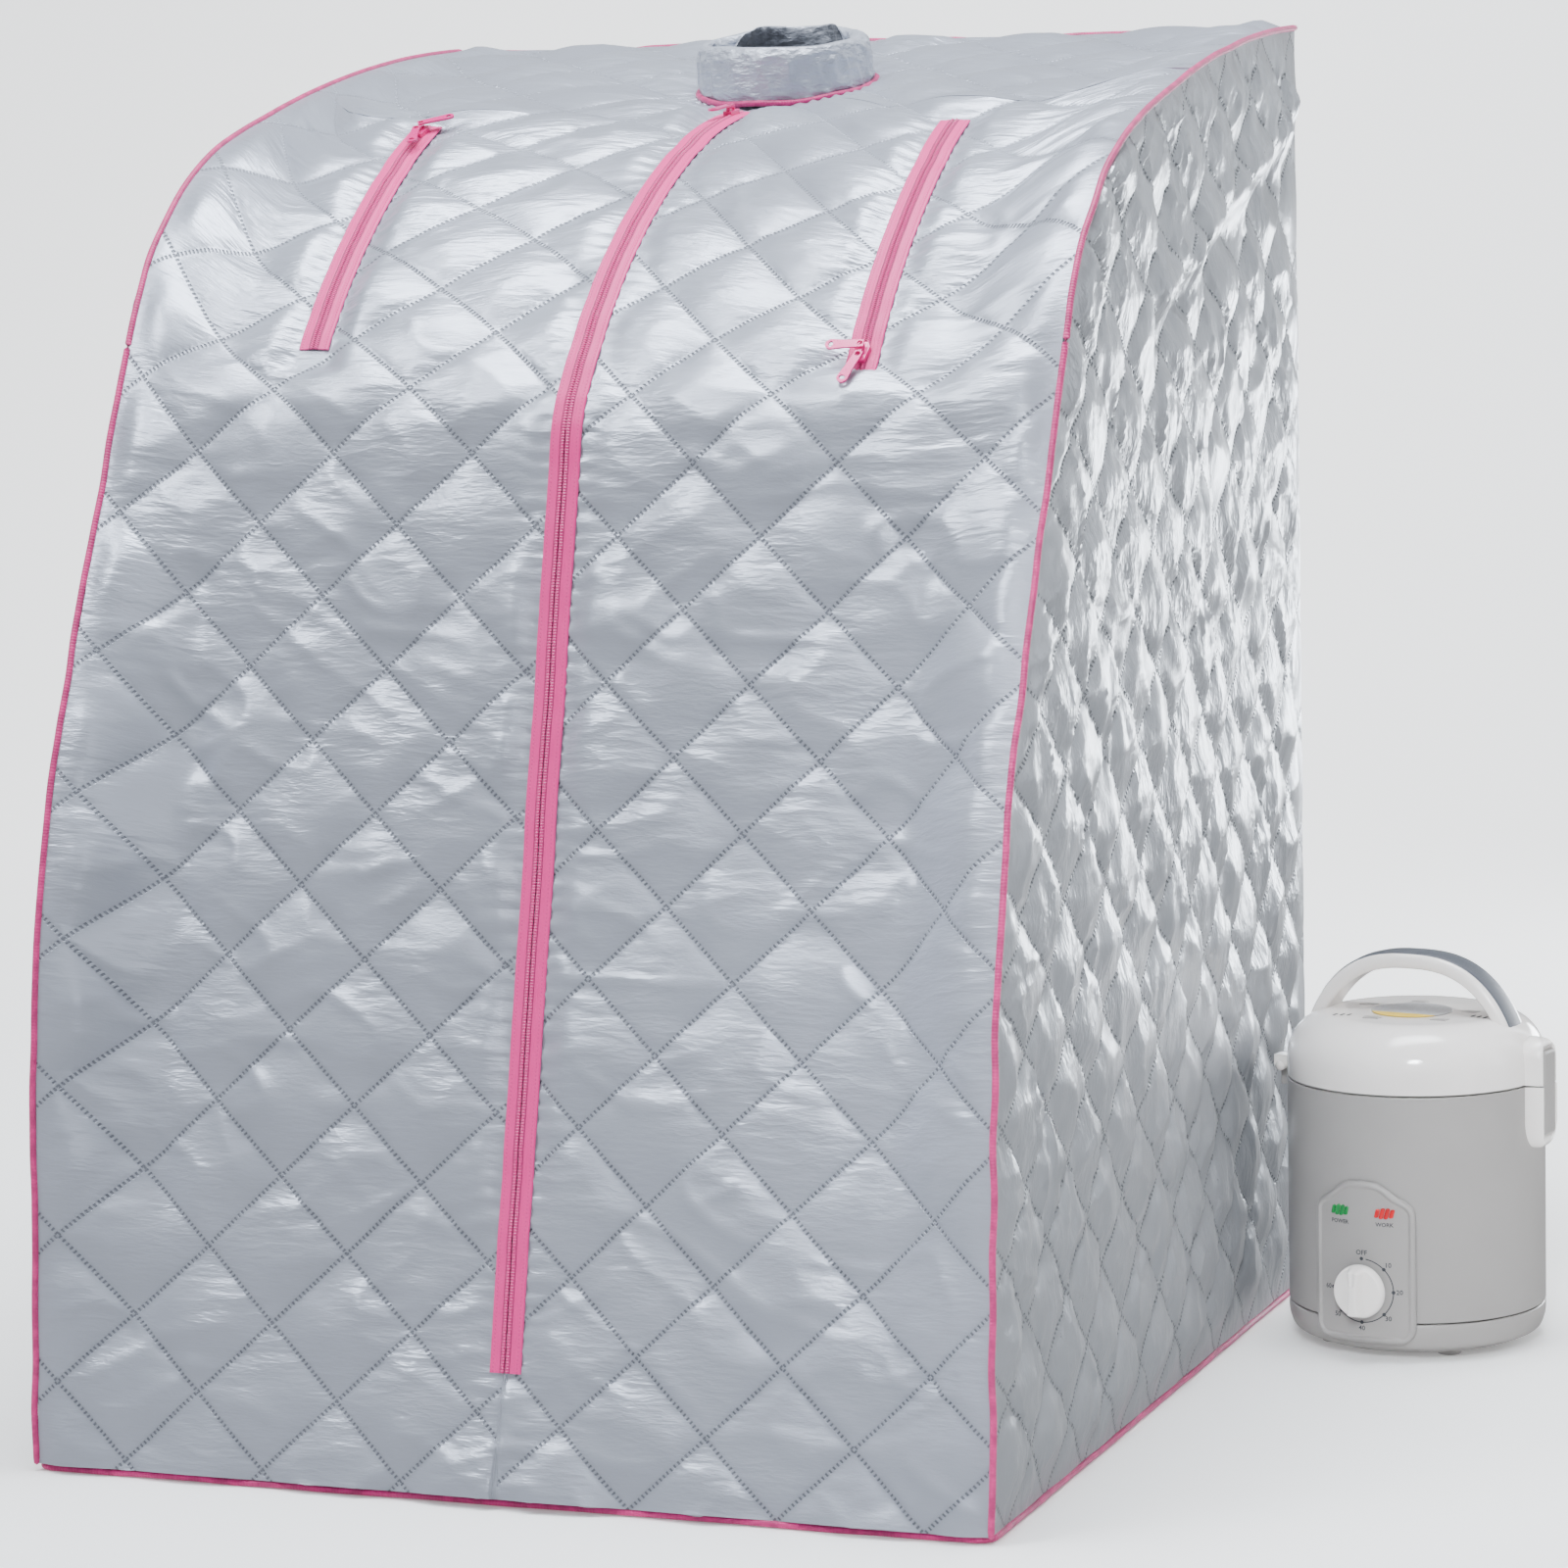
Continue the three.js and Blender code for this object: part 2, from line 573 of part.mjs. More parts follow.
// Pulls are given as [name, turn about the slider's +Z, distance of the pivot up the zip].
function zipSlider(name, outline, arc, x, turn, pulls) {
  const group = onArc(outline, arc, x, turn);
  add(name, sliderGeometry(), pinkMetal, group);
  for (const [pullName, swing, along] of pulls) {
    const pull = add(pullName, pullGeometry(), pinkMetal, group);
    pull.position.set(0, along, SLIDER.height + 0.4);
    pull.rotation.z = swing * DEGREE;
  }
}
zipSlider("main_slider", MIDDLE, ZIP_ARC, 0, 45.4, [["main_pull", -14, -1.5]]);
const leftPulls = [["arm_pull_left_low", 12, -5], ["arm_pull_left_high", 118, 3.4]];
const rightPulls = [["arm_pull_right_low", -20, -5], ["arm_pull_right_high", -88, 3.4]];
zipSlider("arm_slider_left", ARM, ARM_ARC, -ARM_X, 31.6, leftPulls);
zipSlider("arm_slider_right", ARM, ARM_ARC, ARM_X, 4.6, rightPulls);

// ---------------------------------------------------------------- cabinet: steam hose port
const portRing = turned([
  [PORT.radius, -CLOTH - 3],
  [PORT.radius + 0.7, -CLOTH - 3],
  [PORT.radius + 0.7, GAP],
  [PORT.flange, GAP],
  [PORT.flange, GAP + PORT.thick],
  [PORT.radius, GAP + PORT.thick],
  [PORT.radius, -CLOTH - 3],
], 24)
  .rotateX(-Math.PI / 2)
  .translate(PORT.x, REAR_Y, PORT.z);
add("steam_port", portRing, greyPlastic);

// ---------------------------------------------------------------- steam generator: body
// In the generator's frame the control panel faces -Y, the latch is on +X and the hinge on -X.
const R = POT.radius;

function ringOf(points) {
  return turned([...points, points[0]]);
}

const basePan = turned([
  [0, 3],
  [78, 3],
  [87, 6],
  [93, 12],
  [R, 20],
  [R, POT.base],
  [R - POT.wall, POT.base],
  [R - POT.wall, 20],
  [85, 9],
  [76, 6],
  [0, 6],
]);
const feet = [45, 135, 225, 315].map((a) =>
  upright(9, 0, 4, 66 * Math.cos(a * DEGREE), 66 * Math.sin(a * DEGREE), 12),
);
add("base_pan", join(basePan, ...feet), whitePlastic, generator);

const shellWall = ringOf([
  [R - POT.wall, POT.base + GAP],
  [R, POT.base + GAP],
  [R, POT.seam - GAP],
  [R - POT.wall, POT.seam - GAP],
]);
const shaftHole = alongY(5, -110, -70, 0, KNOB.z);
const inletHole = box(-16.6, 16.6, 70, 110, 37.4, 62.6);
const HINGE = { x: -101, z: 200, barrel: 4.8, pin: 2 };
const hingeHole = alongY(HINGE.pin + 0.4, -40, 40, HINGE.x, HINGE.z, 12);
const hingeLug = cut(
  join(
    alongY(HINGE.barrel, -11, 11, HINGE.x, HINGE.z, 16),
    box(HINGE.x - HINGE.barrel, HINGE.x + HINGE.barrel, -11, 11, 184, HINGE.z),
    box(HINGE.x - HINGE.barrel, -R + 2, -11, 11, 184, POT.seam - GAP),
  ),
  hingeHole,
);
const shell = join(cut(shellWall, shaftHole, inletHole), hingeLug);
add("body_shell", shell, whitePlastic, generator);
add("hinge_pin", alongY(HINGE.pin, -24, 24, HINGE.x, HINGE.z, 12), steelWire, generator);

const innerPot = turned([
  [0, INNER_POT.floor],
  [INNER_POT.radius - 8, INNER_POT.floor],
  [INNER_POT.radius, INNER_POT.floor + 8],
  [INNER_POT.radius, INNER_POT.rim - 2],
  [INNER_POT.radius + 7, INNER_POT.rim - 2],
  [INNER_POT.radius + 7, INNER_POT.rim],
  [INNER_POT.radius - INNER_POT.wall, INNER_POT.rim],
  [INNER_POT.radius - INNER_POT.wall, INNER_POT.floor + 9],
  [INNER_POT.radius - 9, INNER_POT.floor + INNER_POT.wall],
  [0, INNER_POT.floor + INNER_POT.wall],
]);
add("inner_pot", innerPot, aluminium, generator);

const heater = cut(upright(70, 66, 79.5, 0, 0, 32), upright(13, 60, 90));
add("heater_plate", heater, aluminium, generator);
add("thermostat_button", upright(12, 62, 79.5), aluminium, generator);

const timerBox = join(
  box(-21, 21, -86, -52, 32, 64),
  alongY(3.2, -105, -80, 0, KNOB.z, 12),
);
add("timer_unit", timerBox, darkPlastic, generator);

const inlet = cut(box(-16, 16, 74, 97.5, 38, 62), box(-12, 12, 84, 100, 42, 58));
add("power_inlet", inlet, darkPlastic, generator);

// The control panel hugs the shell. Its outline is a rounded rectangle with a bowed top.
function panelOutline(margin) {
  const x = PANEL.width / 2 - margin;
  const low = PANEL.bottom + margin;
  const corner = 12 - margin / 2;
  const shape = new THREE.Shape();
  shape.moveTo(-x + corner, low);
  shape.lineTo(x - corner, low);
  shape.absarc(x - corner, low + corner, corner, -Math.PI / 2, 0);
  shape.lineTo(x, PANEL.shoulder - 12);
  shape.quadraticCurveTo(x, PANEL.shoulder - margin, x - 12, PANEL.shoulder - margin + 3);
  shape.quadraticCurveTo(12, PANEL.top - margin, 0, PANEL.top - margin);
  shape.quadraticCurveTo(-12, PANEL.top - margin, -x + 12, PANEL.shoulder - margin + 3);
  shape.quadraticCurveTo(-x, PANEL.shoulder - margin, -x, PANEL.shoulder - 12);
  shape.lineTo(-x, low + corner);
  shape.absarc(-x + corner, low + corner, corner, Math.PI, 1.5 * Math.PI);
  return shape;
}
const panelBand = (r0, r1) =>
  ringOf([
    [r0, PANEL.bottom - 5],
    [r1, PANEL.bottom - 5],
    [r1, PANEL.top + 5],
    [r0, PANEL.top + 5],
  ]);
const frontOf = (margin) => pulledAlongY(panelOutline(margin), -130, -40, 5);
const plate = overlapOf(panelBand(R + GAP, R + PANEL.relief), frontOf(0));
const recess = overlapOf(panelBand(R + PANEL.relief - 1.2, R + 10), frontOf(5));
const lampSlot = (x) =>
  pulledAlongY(roundedPlate(15, 9.6, 4.7).clone(), -130, -40).translate(x, 0, 111);
const panelPlate = cut(plate, recess, lampSlot(-17.5), lampSlot(17.5), alongY(5, -120, -70, 0, KNOB.z));
add("control_panel", panelPlate, whitePlastic, generator);

function lamp(name, x, material) {
  const lens = pulledAlongY(roundedPlate(14, 8.6, 4.2), -130, -40).translate(x, 0, 111);
  add(name, overlapOf(lens, panelBand(R + GAP, R + PANEL.relief - 0.4)), material, generator);
}
lamp("lamp_power", -17.5, greenLamp);
lamp("lamp_work", 17.5, redLamp);

const knobBack = -R - PANEL.relief - 1.6;
const knobFront = knobBack - KNOB.base;
const knob = cut(
  join(
    alongY(KNOB.radius, knobFront, knobBack, 0, KNOB.z, 32),
    box(-6, 6, knobBack - KNOB.grip, knobFront + 1, KNOB.z - 19, KNOB.z + 19),
  ),
  alongY(3.4, knobBack - 6, knobBack + 2, 0, KNOB.z, 12),
);
add("timer_knob", knob, whitePlastic, generator);

// ---------------------------------------------------------------- steam generator: lid
const lidBottom = POT.seam + GAP;
const bend = (radius, z0, count) =>
  steps(0, 90, count).map((a) => [
    R - POT.shoulder + radius * Math.cos(a * DEGREE),
    z0 + radius * Math.sin(a * DEGREE),
  ]);
const shoulderZ = POT.top - POT.shoulder;
const lidShell = turned([
  [R - POT.wall, lidBottom],
  [R, lidBottom],
  ...bend(POT.shoulder, shoulderZ, 6),
  [0, POT.top],
  [0, POT.top - POT.wall],
  ...bend(POT.shoulder - POT.wall, shoulderZ, 5).toReversed(),
  [R - POT.wall, lidBottom],
]);
// The steam comes up from the pot into an elbow, whose spigot points backwards.
const OUTLET = { y: 66, z: 217, radius: 9, bore: 5.5, end: 122 };
const slot = (x, y) => box(x - 1, x + 1, y - 4, y + 4, POT.top - 12, POT.top + 5);
const slots = [-46, -41, -36].map((x) => slot(x, -40)).concat([50, 55, 60].map((x) => slot(x, -8)));
const outletHole = alongY(OUTLET.radius + GAP, 80, 120, 0, OUTLET.z);
const knuckle = (side) =>
  cut(
    join(
      alongY(HINGE.barrel, side * 17.5 - 5.5, side * 17.5 + 5.5, HINGE.x, HINGE.z, 16),
      box(HINGE.x, -R + 4, side * 17.5 - 5.5, side * 17.5 + 5.5, HINGE.z, HINGE.z + 4.8),
    ),
    hingeHole,
  );
const lidCover = join(cut(lidShell, outletHole, ...slots), knuckle(-1), knuckle(1));
add("lid_cover", lidCover, whitePlastic, generator);

const liner = cut(
  turned([
    [0, 203],
    [80, 203],
    [84, 200],
    [90, 200],
    [90, 202],
    [85, 202],
    [81, 205],
    [0, 205],
  ]),
  upright(OUTLET.bore, 190, 215, 0, OUTLET.y, 16),
);
add("lid_liner", liner, aluminium, generator);
const gasket = ringOf([[84, INNER_POT.rim + GAP], [90, INNER_POT.rim + GAP], [90, 199.6], [84, 199.6]]);
add("lid_gasket", gasket, silicone, generator);

const outlet = cut(
  join(
    upright(OUTLET.radius, 205.4, OUTLET.z + 4, 0, OUTLET.y),
    alongY(OUTLET.radius, OUTLET.y - OUTLET.radius, OUTLET.end, 0, OUTLET.z),
    alongY(OUTLET.radius + 3, R + GAP, R + 3.5, 0, OUTLET.z),
  ),
  upright(OUTLET.bore, 200, OUTLET.z, 0, OUTLET.y, 16),
  alongY(OUTLET.bore, OUTLET.y - 3, OUTLET.end + 5, 0, OUTLET.z, 16),
);
add("steam_outlet", outlet, whitePlastic, generator);
add("lid_label", upright(30, POT.top + GAP, POT.top + 1.2, 0, -6, 32), labelFoil, generator);

// The carrying handle arches over the lid from the hinge to the latch, with a soft inlay on top.
const HANDLE = { span: 86, foot: 214, top: 290, thick: 10, width: 30, inlay: 18, inlayDepth: 3 };
function archShape(lift, from = -1, to = 1) {
  const point = (u, off) => {
    const x = HANDLE.span * u * (1 + off / 160);
    const rise = HANDLE.top - HANDLE.foot;
    return [x, HANDLE.foot + rise * Math.pow(1 - Math.pow(Math.abs(u), 2.6), 0.62) + off];
  };
  const us = steps(from, to, 20).map((u) => Math.sin((u * Math.PI) / 2));
  const shape = new THREE.Shape();
  us.forEach((u, i) => shape[i ? "lineTo" : "moveTo"](...point(u, lift[1])));
  us.toReversed().forEach((u) => shape.lineTo(...point(u, lift[0])));
  return shape;
}
const lidBlock = turned([
  [0, 150],
  [R + GAP, 150],
  [R + GAP, shoulderZ],
  ...bend(POT.shoulder + GAP, shoulderZ, 6).slice(1),
  [0, POT.top + GAP],
]);
const arch = pulledAlongY(archShape([-HANDLE.thick, 0]), -HANDLE.width / 2, HANDLE.width / 2);
const inlayCut = pulledAlongY(archShape([-HANDLE.inlayDepth, 6], -0.72, 0.72), -HANDLE.inlay / 2,
  HANDLE.inlay / 2);
add("handle_frame", cut(arch, lidBlock, inlayCut), whitePlastic, generator);
const inlay = pulledAlongY(
  archShape([-HANDLE.inlayDepth + GAP, 0.6], -0.7, 0.7),
  -HANDLE.inlay / 2 + GAP,
  HANDLE.inlay / 2 - GAP,
);
add("handle_grip", inlay, greyPlastic, generator);

// ---------------------------------------------------------------- steam generator: latch
// A pod on the shell carries the lever, whose hook holds the catch on the lid.
const LATCH = { half: 15, out: 109, low: 152, lever: 10.5, pivot: 180 };
const pod = cut(
  box(R - 8, LATCH.out, -LATCH.half, LATCH.half, LATCH.low, POT.seam - GAP),
  upright(R + GAP, 100, 260, 0, 0, 48),
  box(R + 3, LATCH.out + 5, -LATCH.lever - 0.8, LATCH.lever + 0.8, LATCH.low + 6, 250),
);
add("latch_housing", pod, whitePlastic, generator);
const lever = box(R + 7, LATCH.out - 1, -LATCH.lever, LATCH.lever, LATCH.low + 9, 224);
add("latch_lever", lever, whitePlastic, generator);
const catchBlock = cut(
  box(R - 14, LATCH.out - 4, -LATCH.half, LATCH.half, lidBottom, 232),
  lidBlock,
  box(R + 5.6, LATCH.out + 5, -LATCH.lever - 0.8, LATCH.lever + 0.8, 190, 225),
);
add("latch_catch", catchBlock, whitePlastic, generator);

export default sauna;
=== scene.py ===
import math
from contextlib import contextmanager

import bmesh
import bpy
import numpy as np
from mathutils import Matrix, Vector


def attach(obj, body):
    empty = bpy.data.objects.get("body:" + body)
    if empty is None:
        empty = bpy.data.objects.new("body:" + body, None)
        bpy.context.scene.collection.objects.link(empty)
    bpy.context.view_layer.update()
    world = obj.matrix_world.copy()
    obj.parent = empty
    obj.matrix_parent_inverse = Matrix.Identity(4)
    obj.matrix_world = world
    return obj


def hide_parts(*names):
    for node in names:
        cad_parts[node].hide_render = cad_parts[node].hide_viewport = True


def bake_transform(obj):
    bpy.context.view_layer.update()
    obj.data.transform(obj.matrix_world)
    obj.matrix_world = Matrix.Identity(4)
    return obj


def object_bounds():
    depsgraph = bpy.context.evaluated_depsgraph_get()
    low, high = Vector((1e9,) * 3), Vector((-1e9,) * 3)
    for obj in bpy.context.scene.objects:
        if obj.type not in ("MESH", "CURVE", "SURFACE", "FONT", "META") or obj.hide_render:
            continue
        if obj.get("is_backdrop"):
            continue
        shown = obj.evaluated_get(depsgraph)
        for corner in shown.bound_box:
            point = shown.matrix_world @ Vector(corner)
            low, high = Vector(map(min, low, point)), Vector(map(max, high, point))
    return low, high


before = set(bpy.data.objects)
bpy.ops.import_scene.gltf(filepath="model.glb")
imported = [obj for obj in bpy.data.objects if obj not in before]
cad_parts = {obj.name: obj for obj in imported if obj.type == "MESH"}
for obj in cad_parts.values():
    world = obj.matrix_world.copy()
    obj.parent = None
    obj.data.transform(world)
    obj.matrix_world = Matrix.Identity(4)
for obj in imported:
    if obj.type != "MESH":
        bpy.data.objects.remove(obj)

bl_info = {
    "name": "Portable Steam Sauna",
    "version": (1, 0, 0),
    "blender": (4, 5, 0),
    "location": "View3D > Sidebar > Steam Sauna",
    "description": "Quilted cloth, zips, piping and moulded covers for a portable steam sauna",
    "category": "Add Mesh",
}

CAD_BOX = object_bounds()

# ---- sizes shared with the frame
HALF_WIDTH = 0.350          # out to the piping
EDGE_X = 0.3456             # side edge of the front and top cloth, against the piping
WALL_X = 0.341              # inner face of a side wall
FRONT_Y, REAR_Y = -0.397, 0.397
HEM = 0.0054                # height of the cloth's lower edges
DOOR_LEAN = 13.6
DOOR_RISE = 0.742
FOLD_X = 0.260
ARM_X = 0.205
ZIP_ARC = (0.486, 36.0, 48.0)      # radius, first heading and turn, down the middle
ARM_ARC = (0.533, 34.3, 35.0)      # the same at the arm zips
DOOR_BOTTOM, DOOR_TOP = 0.0865, 0.7065
NECK = {"x": 0.006, "y": 0.200, "radius": 0.054, "wall": 0.012, "height": 0.045}
GENERATOR = {"x": 0.472, "y": 0.245, "turn": math.radians(-10.8)}
POT_RADIUS = 0.0955
FOIL_DIAMOND = (0.083, 0.088)      # width and height of a side wall's diamond
# A hoop, from the floor up: its lean, a straight leg, the radius and turn of its knee and of its
# shoulder, and the radius of its almost flat top.
HOOP_LEAN, HOOP_LEG = 4, 0.2606
HOOP_KNEE, HOOP_SHOULDER, HOOP_TOP = (0.8, 21.5), (0.27, 48.5), 1.75


# ---- sizes and colours to change
def length(name, description, default, least):
    return bpy.props.FloatProperty(name=name, description=description, default=default,
                                   min=least, unit="LENGTH")


def colour(name, description, default):
    return bpy.props.FloatVectorProperty(name=name, description=description, default=default,
                                         subtype="COLOR", min=0.0, max=1.0)


class ClothSettings(bpy.types.PropertyGroup):
    diamond_width: length("Diamond Width", "Width of one quilted diamond", 0.104, 0.02)
    diamond_height: length("Diamond Height", "Height of one quilted diamond", 0.100, 0.02)
    puff: length("Puff", "How far a diamond swells above its stitching", 0.0064, 0.0)
    crinkle: length("Crinkle", "Height of the creases in the satin", 0.0016, 0.0)
    thickness: length("Thickness", "Thickness of the padded cloth", 0.005, 0.001)
    silver: colour("Silver", "Colour of the satin", (0.42, 0.447, 0.52))
    foil: colour("Foil", "Colour of the shinier side walls", (0.445, 0.465, 0.50))


class TrimSettings(bpy.types.PropertyGroup):
    pink: colour("Pink", "Colour of the zip tape and piping", (0.74, 0.018, 0.225))
    piping_radius: length("Piping Radius", "Radius of the piping cord", 0.0024, 0.0005)
    tape_width: length("Tape Width", "Width of the zip's two tapes together", 0.023, 0.01)
    coil_pitch: length("Coil Pitch", "Distance from one zip tooth to the next", 0.002, 0.001)


class GeneratorSettings(bpy.types.PropertyGroup):
    shell: colour("Shell", "Colour of the white mouldings", (0.93, 0.88, 0.845))
    grip: colour("Grip", "Colour of the handle's soft inlay", (0.085, 0.092, 0.11))
    dial_steps: bpy.props.IntProperty(
        name="Dial Steps", description="Numbered steps on the timer's dial", default=6, min=1)
    facets: bpy.props.IntProperty(
        name="Facets", description="Facets round each turned cover", default=144, min=24)


class StageSettings(bpy.types.PropertyGroup):
    key_power: bpy.props.FloatProperty(
        name="Key Power", description="Power of the large lamp at the upper left", default=84.0,
        min=0.0, unit="POWER")
    world: bpy.props.FloatProperty(
        name="Surround", description="Strength of the pale surround", default=0.36, min=0.0)


SETTINGS = {"sauna_cloth": ClothSettings, "sauna_trim": TrimSettings,
            "sauna_generator": GeneratorSettings, "sauna_stage": StageSettings}


def cloth_settings():
    return bpy.context.scene.sauna_cloth


# ---- small numpy tools
def smooth(t):
    """3u^2 - 2u^3, with u the value t held between 0 and 1."""
    u = np.clip(t, 0.0, 1.0)
    return u * u * (3.0 - 2.0 * u)


def noise(x, y, seed):
    """Soft noise from -1 to 1: random heights on a unit lattice, eased from one to the next."""
    table = np.random.default_rng(seed).uniform(-1.0, 1.0, (128, 128))
    i, j = np.floor(x).astype(int), np.floor(y).astype(int)
    u, v = smooth(x - i), smooth(y - j)
    at = lambda a, b: table[(i + a) % 128, (j + b) % 128]
    low = at(0, 0) * (1 - u) + at(1, 0) * u
    high = at(0, 1) * (1 - u) + at(1, 1) * u
    return low * (1 - v) + high * v


def creases(x, y, seed):
    """Sharp ridges between smooth hollows: one minus the size of the noise, cubed."""
    return (1.0 - np.abs(noise(x, y, seed))) ** 3


def normals_of(points):
    """Unit normals of a grid of points: the cross product of its two directions."""
    along = np.gradient(points, axis=0)
    across = np.gradient(points, axis=1)
    n = np.cross(along, across)
    return n / np.maximum(np.linalg.norm(n, axis=2, keepdims=True), 1e-12)


@contextmanager
def editing(mesh):
    """Opens a mesh for editing, and writes it back."""
    made = bmesh.new()
    made.from_mesh(mesh)
    yield made
    made.to_mesh(mesh)
    made.free()


def linked(name, data):
    thing = bpy.data.objects.new(name, data)
    bpy.context.scene.collection.objects.link(thing)
    return thing


def surface(name, points, uv=None, closed=(False, False), flip=False, weld=False):
    """A grid of points (rows, columns, 3) as quads. A closed direction joins its last line to its
    first, and welding draws a row that shrinks to a point into one."""
    rows, columns = points.shape[:2]
    i, j = np.meshgrid(np.arange(rows - (not closed[0])), np.arange(columns - (not closed[1])),
                       indexing="ij")
    i, j = i.ravel(), j.ravel()
    ni, nj = (i + 1) % rows, (j + 1) % columns
    corners = [(i, j), (ni, j), (ni, nj), (i, nj)]
    open_corners = [(i, j), (i + 1, j), (i + 1, j + 1), (i, j + 1)]
    if flip:
        corners, open_corners = corners[::-1], open_corners[::-1]
    faces = np.stack([a * columns + b for a, b in corners], 1)
    mesh = bpy.data.meshes.new(name)
    mesh.from_pydata(points.reshape(-1, 3).tolist(), [], faces.tolist())
    if uv is not None:
        at = np.stack([uv[a % uv.shape[0], b % uv.shape[1]] for a, b in open_corners], 1)
        layer = mesh.uv_layers.new(name="cloth")
        layer.data.foreach_set("uv", at.reshape(-1).astype(np.float32))
    mesh.polygons.foreach_set("use_smooth", np.ones(len(faces), bool))
    if weld:
        with editing(mesh) as made:
            bmesh.ops.remove_doubles(made, verts=made.verts, dist=1e-6)
    mesh.update()
    return linked(name, mesh)


def joined(name, things):
    """Several meshes as one object."""
    made = bmesh.new()
    for thing in things:
        made.from_mesh(thing.data)
    mesh = bpy.data.meshes.new(name)
    made.to_mesh(mesh)
    made.free()
    for thing in things:
        bpy.data.objects.remove(thing)
    return linked(name, mesh)


def full_turn(count):
    """Angles round a circle, without the last one that would meet the first."""
    return np.linspace(0, 2 * np.pi, count, endpoint=False)


def run_of(points):
    """Distance along a polyline to each of its points."""
    return np.r_[0, np.cumsum(np.linalg.norm(np.diff(points, axis=0), axis=1))]


def tube(name, path, radius, sides=12, closed=False, flatten=1.0):
    """A round section carried along a path. At each point the section's own axes are square to
    the path's direction, and its ends are rounded off."""
    path = np.asarray(path, float)
    if not closed:
        step = path[1] - path[0], path[-1] - path[-2]
        ends = [s / np.linalg.norm(s) * radius for s in step]
        path = np.vstack([path[0] - 0.5 * ends[0], path[0], path[1:-1], path[-1],
                          path[-1] + 0.5 * ends[1]])
    run = (np.roll(path, -1, 0) - np.roll(path, 1, 0)) if closed else np.gradient(path, axis=0)
    run /= np.linalg.norm(run, axis=1, keepdims=True)
    helper = np.where(np.abs(run[:, 2:3]) > 0.9, [[0.0, 1.0, 0.0]], [[0.0, 0.0, 1.0]])
    if np.ptp(path[:, 0]) < 1e-6:
        helper = np.tile([1.0, 0.0, 0.0], (len(path), 1))
    side = np.cross(run, helper)
    side /= np.linalg.norm(side, axis=1, keepdims=True)
    other = np.cross(side, run)
    size = np.full(len(path), radius)
    if not closed:
        size[[0, -1]] = 0.0
        size[[1, -2]] = radius * 0.8
    angle = full_turn(sides)
    ring = (np.cos(angle)[None, :, None] * side[:, None] +
            flatten * np.sin(angle)[None, :, None] * other[:, None])
    points = path[:, None] + size[:, None, None] * ring
    lengths = run_of(path)
    uv = np.stack(np.broadcast_arrays(lengths[:, None], angle[None] / (2 * np.pi)), 2)
    if closed:
        uv = np.concatenate([uv, uv[:1] + [[[lengths[-1] * 1.01 - lengths[0], 0]]]], 0)
    uv = np.concatenate([uv, uv[:, :1] + [[[0, 1.0]]]], 1)
    return surface(name, points, uv, (closed, True), weld=not closed)


def turned(name, profile, facets, to_world, weld=True):
    """A profile of (radius, height) turned about the generator's axis."""
    profile = np.asarray(profile, float)
    angle = full_turn(facets)
    r, z = profile[:, :1], profile[:, 1:]
    points = np.stack(np.broadcast_arrays(r * np.cos(angle), r * np.sin(angle), z), 2)
    return surface(name, to_world(points), None, (False, True), flip=True, weld=weld)


def rounded(corners, radius, steps=5):
    """A polyline whose inner corners are rounded: each is replaced by a quadratic bend that
    starts and ends one radius from it, or half a side where that is shorter."""
    corners = [np.asarray(c, float) for c in corners]
    out = [corners[0]]
    for before, here, after in zip(corners, corners[1:], corners[2:]):
        reach = [min(radius, 0.5 * np.linalg.norm(p - here)) for p in (before, after)]
        a = here + (before - here) / np.linalg.norm(before - here) * reach[0]
        b = here + (after - here) / np.linalg.norm(after - here) * reach[1]
        t = np.linspace(0, 1, steps)[:, None]
        out.extend((1 - t) ** 2 * a + 2 * t * (1 - t) * here + t ** 2 * b)
    out.append(corners[-1])
    return np.array(out)


# ---- the cabinet's outline
class Outline:
    """Lines and arcs in (y, z). The heading is the lean back from upright, in degrees, and the
    inside of the cabinet is on the side where the arcs' centres lie."""

    def __init__(self, y, z, heading, inset=0.0):
        self.heading, self.inset = heading, inset
        self.at = np.array([y, z]) + inset * self.inward()
        self.points = [self.at[None]]

    def inward(self):
        a = math.radians(self.heading)
        return np.array([math.cos(a), -math.sin(a)])

    def line(self, length):
        a = math.radians(self.heading)
        self.at = self.at + length * np.array([math.sin(a), math.cos(a)])
        self.points.append(self.at[None])
        return self

    def arc(self, radius, turn):
        radius -= self.inset
        centre = self.at + radius * self.inward()
        a = np.radians(self.heading + turn * np.linspace(0, 1, 41)[1:])
        ring = centre + radius * np.stack([-np.cos(a), np.sin(a)], 1)
        self.heading += turn
        self.at = ring[-1]
        self.points.append(ring)
        return self

    def section(self):
        points = np.vstack(self.points)
        self.points = [self.at[None]]
        return points


def at_share(points, share):
    """The point at each share, from 0 to 1, of a polyline's length."""
    lengths = run_of(points)
    here = np.asarray(share) * lengths[-1]
    return np.stack([np.interp(here, lengths, points[:, k]) for k in range(2)], -1)


def side_outline(inset=0.0):
    o = Outline(FRONT_Y, 0, HOOP_LEAN, inset)
    front = o.line(HOOP_LEG).arc(*HOOP_KNEE).line(0.198).section()
    shoulder = o.line(0.041).arc(*HOOP_SHOULDER).arc(HOOP_TOP, 5.1).section()
    return [front, shoulder, o.arc(HOOP_TOP, 9.1).section()]


SIDE = side_outline()
TOP = SIDE[2][-1]


def cloth_outline(radius, heading, turn):
    o = Outline(FRONT_Y, 0, DOOR_LEAN)
    front = o.line(DOOR_RISE).section()
    o.heading = heading
    shoulder = o.arc(radius, turn).section()
    return [front, shoulder, np.vstack([o.at, TOP])]


